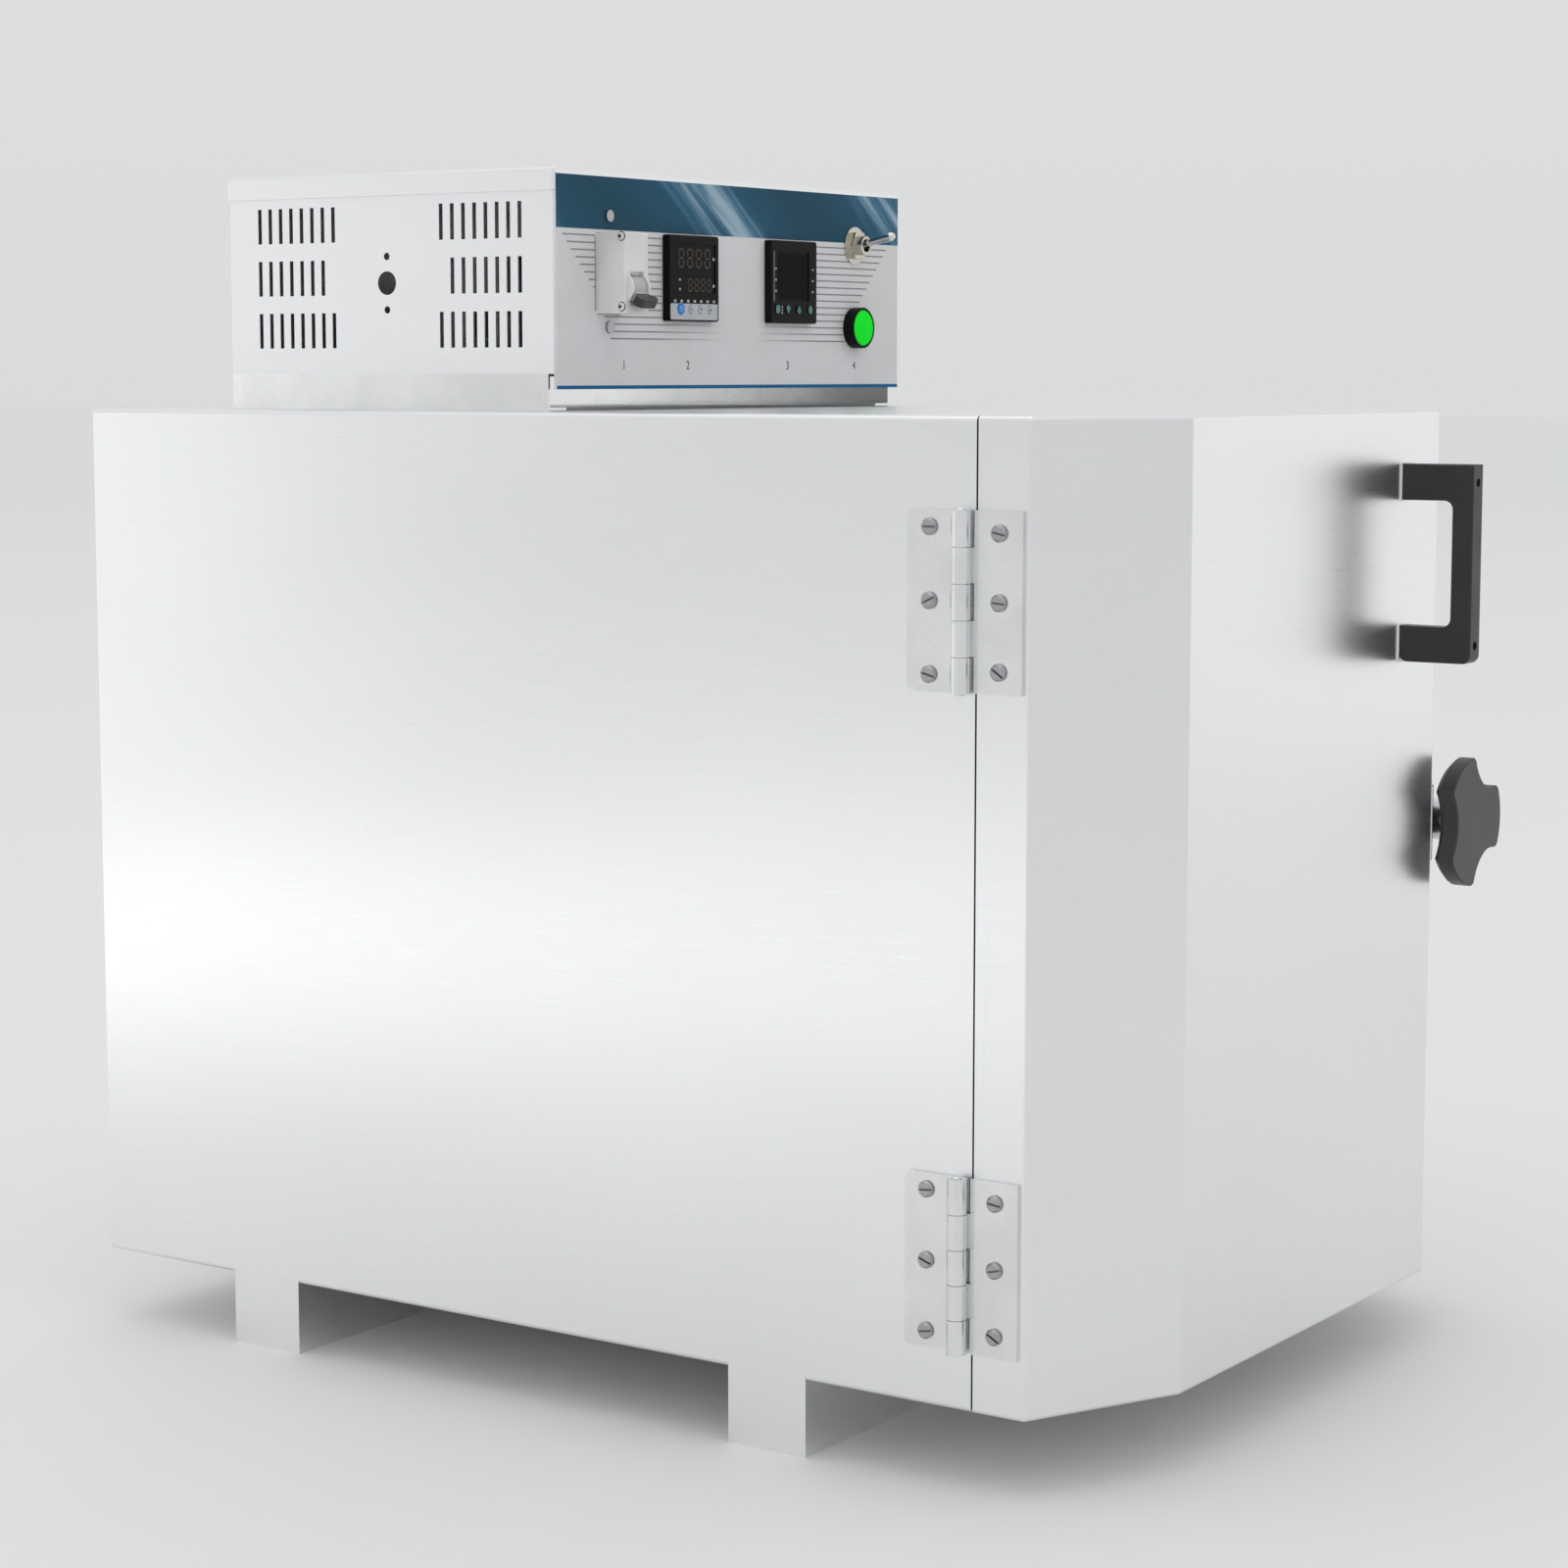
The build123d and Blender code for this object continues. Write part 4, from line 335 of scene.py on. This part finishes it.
def sheet(outline, y, thickness, holes=()):
    """A closed flat plate on the plane y, standing out to the front; outline and holes are (x, z) in mm."""
    plan = bmesh.new()
    for loop in (outline, *holes):
        corners = [plan.verts.new((x, 0, z)) for x, z in loop]
        for start, end in zip(corners, corners[1:] + corners[:1]):
            plan.edges.new((start, end))
    bmesh.ops.triangle_fill(plan, use_beauty=True, edges=plan.edges[:])
    plan.verts.index_update()
    count = len(plan.verts)
    vertices = [(v.co.x * MM, depth * MM, v.co.z * MM) for depth in (y, y - thickness) for v in plan.verts]
    faces = [[v.index for v in face.verts] for face in plan.faces]
    faces += [[v.index + count for v in face.verts] for face in plan.faces]
    for edge in plan.edges:
        if edge.is_boundary:
            start, end = (v.index for v in edge.verts)
            faces.append([start, end, end + count, start + count])
    plan.free()
    return vertices, faces


def bar(x0, x1, z0, z1, y, thickness):
    """A rectangular plate between two corners."""
    return sheet([(x0, z0), (x1, z0), (x1, z1), (x0, z1)], y, thickness)


def dots(places, width, height, y):
    """Small printed bars from their lower left corners."""
    return [bar(x, x + width, z, z + height, y, FILM) for x, z in places]


def round_outline(x, z, width, height, corner, steps=6):
    """A rectangle with rounded corners."""
    points = []
    for quarter, (side, up) in enumerate(((1, 1), (-1, 1), (-1, -1), (1, -1))):
        centre_x = x + side * (width / 2 - corner)
        centre_z = z + up * (height / 2 - corner)
        for step in range(steps + 1):
            angle = math.radians(90 * (quarter + step / steps))
            points.append((centre_x + corner * math.cos(angle), centre_z + corner * math.sin(angle)))
    return points


def oval(x, z, width, height, steps=24):
    """An upright ellipse, or a circle when its two sizes are equal."""
    turns = [math.tau * n / steps for n in range(steps)]
    return [(x + width / 2 * math.cos(a), z + height / 2 * math.sin(a)) for a in turns]


def drop(x, z, width, height, tip):
    """A round sign drawn out to a point that is up (1) or down (-1)."""
    radius = width / 2
    middle = z - tip * (height / 2 - radius)
    turns = [math.pi * n / 12 for n in range(13)]
    arc = [(x + radius * math.cos(a), middle - tip * radius * math.sin(a)) for a in turns]
    return arc + [(x, z + tip * height / 2)]


def ring(x, z, diameter, width, y):
    """A flat printed ring."""
    inner = diameter - 2 * width
    return sheet(oval(x, z, diameter, diameter), y, FILM, [oval(x, z, inner, inner)])


def wedge(x, z, size, y, tip):
    """A flat printed triangle that points up (1) or down (-1)."""
    return sheet([(x - size, z - tip * size), (x + size, z - tip * size), (x, z + tip * size)], y, FILM)


def prism(profile, near_x, far_x):
    """A closed prism along X; its profile is (y, z) in mm."""
    count = len(profile)
    vertices = [(x * MM, y * MM, z * MM) for x in (near_x, far_x) for y, z in profile]
    faces = [list(range(count)), list(range(count, 2 * count))]
    faces += [[i, (i + 1) % count, count + (i + 1) % count, count + i] for i in range(count)]
    return vertices, faces


FILM = 0.12  # thickness of a printed film, mm
MIDDLE_X = 5.25  # middle of the cabinet, mm


def corners(node):
    """Both corners of a node's box, in mm."""
    low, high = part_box(node)
    return low / MM, high / MM


def key_face(node):
    """Centre (x, z), width and front plane of a key, in mm."""
    low, high = corners(node)
    return (low.x + high.x) / 2, (low.z + high.z) / 2, high.x - low.x, low.y


panel_low, panel_high = corners("front_panel")
PANEL_Y = panel_low.y
BEZEL_Y = corners("temperature_controller")[0].y
WINDOW_SINK = 0.6
SCREEN_Y = BEZEL_Y + WINDOW_SINK

# ---------------------------------------------------------------- panel
BAND_FOOT = 640.8
RULE_HEIGHT = 2.0


def band_print():
    """Deep blue film crossed by two broad soft beams made of fine wisps."""
    finish = Finish("band_print", "27526C", 0.42, Specular_IOR_Level=0.06)
    mapping = finish.node("ShaderNodeMapping")
    mapping.inputs["Rotation"].default_value = (0, math.radians(52), 0)
    finish.link(finish.place, mapping.inputs["Vector"])
    wave = finish.node("ShaderNodeTexWave", wave_profile="SIN")
    wave.inputs["Scale"].default_value = 2.6
    wave.inputs["Distortion"].default_value = 1.6
    wave.inputs["Detail"].default_value = 1.0
    wave.inputs["Detail Scale"].default_value = 0.5
    wave.inputs["Phase Offset"].default_value = 2.2
    finish.link(mapping.outputs["Vector"], wave.inputs["Vector"])
    stretch = finish.node("ShaderNodeMapping")
    stretch.inputs["Scale"].default_value = (1.0, 1.0, 0.06)
    finish.link(mapping.outputs["Vector"], stretch.inputs["Vector"])
    wisps = finish.node("ShaderNodeTexNoise")
    wisps.inputs["Scale"].default_value = 110.0
    wisps.inputs["Detail"].default_value = 4.0
    finish.link(stretch.outputs["Vector"], wisps.inputs["Vector"])
    beams = finish.node("ShaderNodeMath", operation="MULTIPLY")
    finish.link(wave.outputs["Fac"], beams.inputs[0])
    finish.link(wisps.outputs["Fac"], beams.inputs[1])
    tint = finish.ramp(beams.outputs["Value"], [
        (0.0, colour("254D60")), (0.34, colour("2B5872")), (0.46, colour("4B7690")), (0.62, colour("9DB6C6")),
    ])
    finish.link(tint, finish.shader.inputs["Base Color"])
    finish.bump(finish.noise(900.0), 0.000006, 0.3)
    return finish.material


rule_print = film("rule_print", "125E8E", "1A6898", 0.40, 0.48, 0.06)
make_piece("panel_band", "cabinet", band_print(),
           [bar(panel_low.x, panel_high.x, BAND_FOOT, panel_high.z, PANEL_Y, FILM)])
make_piece("panel_foot_rule", "cabinet", rule_print,
           [bar(panel_low.x, panel_high.x, panel_low.z, panel_low.z + RULE_HEIGHT, PANEL_Y, FILM)])

# Grey rules in rows, whose outer ends make a fan on each side
LINE_PITCH = 4.057
LINE_TOP = 637.4
LINE_HEIGHT = 0.75
FAN_LEFT, FAN_LEFT_STEP, FAN_LEFT_ROWS = -164.25, 4.0, 8
FAN_RIGHT, FAN_RIGHT_STEP = 166.6, 3.78
FULL_ROWS = 11
STEM_X, STEM_FOOT, STEM_HEAD, STEM_HALF = -134.4, 595.8, 636.6, 0.35
BREAKER_SIDE, CONTROLLER_SIDE, RECORDER_SIDE = -110.25, -71.5, 82.0
FOOT_LEFT_STARTS = (-126.25, -118.4, -118.4, -120.75)
FOOT_LEFT_END = MIDDLE_X - 8
FOOT_RIGHT_START, FOOT_RIGHT_END, FOOT_ROWS = MIDDLE_X + 22, 119.5, 4


def line_print():
    """Grey ink that fades to the panel's own colour near the middle."""
    finish = Finish("line_print", "8A8C8F", 0.45, Specular_IOR_Level=0.15)
    split = finish.node("ShaderNodeSeparateXYZ")
    finish.link(finish.place, split.inputs["Vector"])
    away = finish.node("ShaderNodeMath", operation="SUBTRACT")
    away.inputs[1].default_value = MIDDLE_X * MM
    finish.link(split.outputs["X"], away.inputs[0])
    size = finish.node("ShaderNodeMath", operation="ABSOLUTE")
    finish.link(away.outputs["Value"], size.inputs[0])
    reach = finish.node("ShaderNodeMapRange")
    reach.inputs["From Min"].default_value = 0.012
    reach.inputs["From Max"].default_value = 0.085
    finish.link(size.outputs["Value"], reach.inputs["Value"])
    tint = finish.ramp(reach.outputs["Result"], [(0.0, colour("DCDCDD")), (1.0, colour("8A8C8F"))])
    finish.link(tint, finish.shader.inputs["Base Color"])
    finish.bump(finish.noise(900.0), 0.000006, 0.3)
    return finish.material


def line(x0, x1, row):
    """One printed rule, counted down from the top one."""
    z = LINE_TOP - row * LINE_PITCH
    return bar(x0, x1, z - LINE_HEIGHT / 2, z + LINE_HEIGHT / 2, PANEL_Y, FILM)


lines = [line(FAN_LEFT + FAN_LEFT_STEP * row, STEM_X, row) for row in range(FAN_LEFT_ROWS)]
lines += [line(BREAKER_SIDE, CONTROLLER_SIDE, row) for row in range(FULL_ROWS)]
lines += [line(x, FOOT_LEFT_END, FULL_ROWS + row) for row, x in enumerate(FOOT_LEFT_STARTS)]
lines += [line(RECORDER_SIDE, FAN_RIGHT - FAN_RIGHT_STEP * row, row) for row in range(FULL_ROWS)]
lines += [line(FOOT_RIGHT_START, FOOT_RIGHT_END, FULL_ROWS + row) for row in range(FOOT_ROWS)]
lines.append(bar(STEM_X - STEM_HALF, STEM_X + STEM_HALF, STEM_FOOT, STEM_HEAD, PANEL_Y, FILM))
make_piece("panel_lines", "cabinet", line_print(), lines)

# ---------------------------------------------------------------- instruments
segment_print = film("segment_print", "4E463D", "585046", 0.40, 0.50, 0.06)
mark_print = film("mark_print", "9EA0A2", "B8BABC", 0.45, 0.55)
strip_film = film("strip_film", "B4B7BC", "BCBFC4", 0.42, 0.52, 0.15)
glass = plastic("screen_glass", "060607", "090909", 0.10, 0.16, 0.000002, 300.0, Specular_IOR_Level=0.04)

# Ends of a figure's seven strokes, as shares of its width and height
SEGMENTS = (
    (0, 1, 1, 1), (0, 0.5, 1, 0.5), (0, 0, 1, 0),
    (0, 0.5, 0, 1), (0, 0, 0, 0.5), (1, 0.5, 1, 1), (1, 0, 1, 0.5),
)
# Left end, foot, pitch, width, height and stroke of each row of figures
DISPLAY_ROWS = ((-61.6, 621.4, 8.6, 6.0, 11.0, 1.1), (-52.2, 607.8, 6.3, 4.4, 7.6, 0.8))
FIGURES_IN_ROW = 4


def figure(x, z, width, height, stroke):
    """All seven unlit strokes of one figure, from its lower left corner."""
    parts = []
    for x0, z0, x1, z1 in SEGMENTS:
        if z0 == z1:
            middle = z + z0 * (height - stroke)
            parts.append(bar(x + stroke, x + width - stroke, middle, middle + stroke, SCREEN_Y, FILM))
        else:
            side = x + x0 * (width - stroke)
            low, high = z + z0 * height + stroke, z + z1 * height - stroke
            parts.append(bar(side, side + stroke, low, high, SCREEN_Y, FILM))
    return parts


figures = []
for number in range(FIGURES_IN_ROW):
    for left, foot, pitch, width, height, stroke in DISPLAY_ROWS:
        figures += figure(left + pitch * number, foot, width, height, stroke)
make_piece("controller_figures", "cabinet", segment_print, figures)

marks = dots([(-66.6 + 6.4 * n, 601.7) for n in range(7)], 2.2, 1.4, BEZEL_Y)
marks += dots([(-27.4, 626.0), (-27.4, 610.6)], 1.8, 1.6, SCREEN_Y)
marks += dots([(-60.8, 614.0), (-60.8, 608.6)], 1.6, 1.1, SCREEN_Y)
make_piece("controller_marks", "cabinet", mark_print, marks)

KEY_GAP = 0.3
STRIP = round_outline(-46.8, 596.4, 46.6, 9.2, 1.0)
key_holes = []
for number in range(1, 5):
    x, z, width, _ = key_face(f"controller_key_{number}")
    key_holes.append(oval(x, z, width + 2 * KEY_GAP, width + 2 * KEY_GAP))
make_piece("controller_strip", "cabinet", strip_film,
           [sheet(STRIP, BEZEL_Y, FILM, key_holes)])


def controller_sign(number, x, z, y):
    """A ring, two bars, or a wedge that points down or up."""
    if number == 1:
        return [ring(x, z, 3.0, 0.45, y)]
    if number == 2:
        return dots([(x - 1.1, z - 0.8), (x - 1.1, z + 0.4)], 2.2, 0.4, y)
    return [wedge(x, z, 0.9, y, -1 if number == 3 else 1)]


for number in range(1, 5):
    key = f"controller_key_{number}"
    x, z, _, y = key_face(key)
    print_colour = mark_print if number == 1 else rule_print
    make_piece(f"controller_sign_{number}", key, print_colour, controller_sign(number, x, z, y))

make_piece("recorder_glass", "cabinet", glass,
           [bar(40.2, 70.8, 605.0, 632.0, SCREEN_Y, FILM)])
marks = dots([(x, z) for x in (36.1, 75.6) for z in (622.6, 616.0, 609.4)], 1.7, 1.0, BEZEL_Y)
marks.append(bar(35.0, 35.35, 603.5, 633.5, BEZEL_Y, FILM))
marks += dots([(43.1, 600.1), (43.1, 598.3), (43.1, 596.5)], 1.0, 1.0, BEZEL_Y)
make_piece("recorder_marks", "cabinet", mark_print, marks)

SIGN_WIDTH, SIGN_HEIGHT = 4.2, 5.0
SQUARE_HEIGHT, SQUARE_CORNER = 4.8, 1.4


def recorder_sign(number, x, z):
    """A rounded square, a drop that points down or up, or an oval."""
    if number == 1:
        return round_outline(x, z, SIGN_WIDTH, SQUARE_HEIGHT, SQUARE_CORNER)
    if number == 4:
        return oval(x, z, SIGN_WIDTH, SIGN_HEIGHT)
    return drop(x, z, SIGN_WIDTH, SIGN_HEIGHT, -1 if number == 2 else 1)


for number in range(1, 5):
    key = f"recorder_key_{number}"
    x, z, _, y = key_face(key)
    outline = recorder_sign(number, x, z)
    make_piece(f"recorder_sign_{number}", key, key_teal, [sheet(outline, y, FILM)])

# ---------------------------------------------------------------- numerals
NUMERAL_Z = 563.6
NUMERAL_SIZE = 7.0
NUMERAL_PLACES = (-108.0, -46.25, 56.75, 130.25)
ink = film("numeral_ink", "3E4043", "484A4D", 0.45, 0.55)


def numeral(number, x):
    """A printed number, centred on x."""
    name = f"numeral_{number}"
    curve = bpy.data.curves.new(name, "FONT")
    curve.body = str(number)
    curve.size = NUMERAL_SIZE * MM
    curve.extrude = FILM * MM / 2
    curve.align_x = "CENTER"
    letters = bpy.data.objects.new(name + "_curve", curve)
    scene.collection.objects.link(letters)
    mesh = bpy.data.meshes.new_from_object(letters)
    bpy.data.objects.remove(letters)
    upright = Matrix.Rotation(math.radians(90), 4, "X")
    mesh.transform(Matrix.Translation((x * MM, (PANEL_Y - FILM / 2) * MM, NUMERAL_Z * MM)) @ upright)
    mesh.materials.clear()
    mesh.materials.append(ink)
    piece = bpy.data.objects.new(name, mesh)
    scene.collection.objects.link(piece)
    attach(piece, "cabinet")


for number, x in enumerate(NUMERAL_PLACES, 1):
    numeral(number, x)

# ---------------------------------------------------------------- breaker
breaker_low, breaker_high = corners("breaker_case")
breaker_x = (breaker_low.x + breaker_high.x) / 2
drum_y, drum_z = BREAKER_PIVOT[1] / MM, BREAKER_PIVOT[2] / MM
CHEEK_RADIUS = 9.0
CHEEK_INNER, CHEEK_OUTER = 6.6, 8.4
CHEEK_STEPS = 8  # on each side of the middle


def cheek(side):
    """The part of an upright disc that stands out of the nose beside the drum."""
    half = math.acos((drum_y - breaker_low.y) / CHEEK_RADIUS)
    turns = [half * (n / CHEEK_STEPS - 1) for n in range(2 * CHEEK_STEPS + 1)]
    profile = [(drum_y - CHEEK_RADIUS * math.cos(a), drum_z + CHEEK_RADIUS * math.sin(a)) for a in turns]
    return prism(profile, breaker_x + side * CHEEK_INNER, breaker_x + side * CHEEK_OUTER)


make_piece("breaker_cheeks", "cabinet", white, [cheek(-1), cheek(1)])

# Two rivets on the left side: a pale head, a dark ring of painted shade round its foot for the recess, and a
# dark disc of painted shade for the hole, a little behind the head's middle
RIVET_Y = 46.45
RIVET_HEIGHTS = (636.7, 598.0)
RIM_RADIUS, RIM_HEIGHT = 2.7, 0.1
HEAD_RADIUS, HEAD_HEIGHT = 2.2, 0.7
HOLE_RADIUS, HOLE_HEIGHT, HOLE_BACK = 1.1, 0.05, 0.7


def studs(x, y, radius, height):
    """A short round stud at each rivet, standing out to the left of x."""
    size = 2 * radius
    return [prism(oval(y, z, size, size, 20), x, x - height) for z in RIVET_HEIGHTS]


# Painted shade: a thin dark ring round each rivet's foot stands for the shaded recess.
make_piece("breaker_rivet_rim_shade", "cabinet", dark,
           studs(breaker_low.x, RIVET_Y, RIM_RADIUS, RIM_HEIGHT))
make_piece("breaker_rivets", "cabinet", white,
           studs(breaker_low.x, RIVET_Y, HEAD_RADIUS, HEAD_HEIGHT))
# Painted shade: a dark disc on each head, set a little back, stands for the shade in its hole.
make_piece("breaker_rivet_hole_shade", "cabinet", dark,
           studs(breaker_low.x - HEAD_HEIGHT, RIVET_Y + HOLE_BACK, HOLE_RADIUS, HOLE_HEIGHT))

# ---------------------------------------------------------------- handle trim
LEG_HEIGHT = 20.0
TRIM_MARGIN = 0.9
TRIM_THICKNESS = 0.9
TRIM_GAP = 0.05
TRIM_CORNER, LEG_CORNER = 1.0, 0.2
handle_low, handle_high = corners("door_handle")
handle_x = (handle_low.x + handle_high.x) / 2
handle_width = handle_high.x - handle_low.x


def around_leg(z, margin, corner, steps):
    """A rounded outline that clears one leg of the handle by a margin."""
    return round_outline(handle_x, z, handle_width + 2 * margin, LEG_HEIGHT + 2 * margin, corner, steps)


trims = []
for z in (handle_low.z + LEG_HEIGHT / 2, handle_high.z - LEG_HEIGHT / 2):
    opening = around_leg(z, TRIM_GAP, LEG_CORNER, 2)
    trims.append(sheet(around_leg(z, TRIM_MARGIN, TRIM_CORNER, 6), handle_high.y, TRIM_THICKNESS, [opening]))
make_piece("handle_trim", "door", bright, trims)

# ---------------------------------------------------------------- stage
FLOOR_HALF = 40.0
FADE_START, FADE_END = 3.0, 14.0


def floor_paint():
    """Pale matt floor that fades to the surround's tone in the distance."""
    finish = Finish("pale_floor", "F0F0EF", 0.6)
    away = finish.node("ShaderNodeVectorMath", operation="LENGTH")
    finish.link(finish.place, away.inputs[0])
    reach = finish.node("ShaderNodeMapRange")
    reach.inputs["From Min"].default_value = FADE_START
    reach.inputs["From Max"].default_value = FADE_END
    finish.link(away.outputs["Value"], reach.inputs["Value"])
    finish.stain(reach.outputs["Result"], "F0F0EF", "E6E7E8", 0.0, 1.0)
    finish.polish(finish.noise(30.0), 0.55, 0.65)
    return finish.material


def make_floor():
    """A square floor at the feet's level."""
    mesh = bpy.data.meshes.new("floor")
    square = [(x * FLOOR_HALF, y * FLOOR_HALF, 0) for x, y in ((-1, -1), (1, -1), (1, 1), (-1, 1))]
    mesh.from_pydata(square, [], [(0, 1, 2, 3)])
    mesh.materials.append(floor_paint())
    made = bpy.data.objects.new("floor", mesh)
    scene.collection.objects.link(made)
    return made


floor = make_floor()


def make_world():
    """Soft studio surround, a little brighter overhead."""
    world = bpy.data.worlds.new("studio")
    world.use_nodes = True
    scene.world = world
    tree = world.node_tree
    background = tree.nodes["Background"]
    place = tree.nodes.new("ShaderNodeTexCoord")
    split = tree.nodes.new("ShaderNodeSeparateXYZ")
    ramp = tree.nodes.new("ShaderNodeValToRGB")
    ramp.color_ramp.elements[0].position = 0.0
    ramp.color_ramp.elements[0].color = (0.80, 0.805, 0.81, 1)
    ramp.color_ramp.elements[1].position = 0.6
    ramp.color_ramp.elements[1].color = (0.97, 0.975, 0.98, 1)
    tree.links.new(place.outputs["Generated"], split.inputs["Vector"])
    tree.links.new(split.outputs["Z"], ramp.inputs["Fac"])
    tree.links.new(ramp.outputs["Color"], background.inputs["Color"])
    background.inputs["Strength"].default_value = 0.88


def soft_box(name, place, target, width, height, power):
    """A rectangular soft box aimed at a point."""
    data = bpy.data.lights.new(name, "AREA")
    data.shape = "RECTANGLE"
    data.size = width
    data.size_y = height
    data.energy = power
    light = bpy.data.objects.new(name, data)
    light.location = place
    light.rotation_euler = (Vector(target) - Vector(place)).to_track_quat("-Z", "Y").to_euler()
    light.visible_camera = False
    scene.collection.objects.link(light)
    return light


make_world()
strip = soft_box("strip_left", (-1.16, 0.71, 0.07), (-0.2, 0.07, 0.27), 2.0, 0.14, 0.62)
soft_box("tall_back_left", (-1.9, 2.3, 0.6), (-0.2, 0.35, 0.4), 0.8, 1.2, 1.5)
soft_box("panel_right", (2.6, -2.0, 0.75), (0.1, -0.3, 0.3), 2.0, 1.5, 2.3)
soft_box("overhead", (-0.6, 0.3, 2.8), (0, 0, 0.3), 2.0, 2.0, 5)

# The low strip lights the furnace and leaves no glare on the floor beside it
unlit = bpy.data.collections.new("unlit_by_strip")
unlit.objects.link(floor)
strip.light_linking.receiver_collection = unlit
unlit.collection_objects[0].light_linking.link_state = "EXCLUDE"

scene.view_settings.view_transform = "Standard"
scene.view_settings.look = "None"
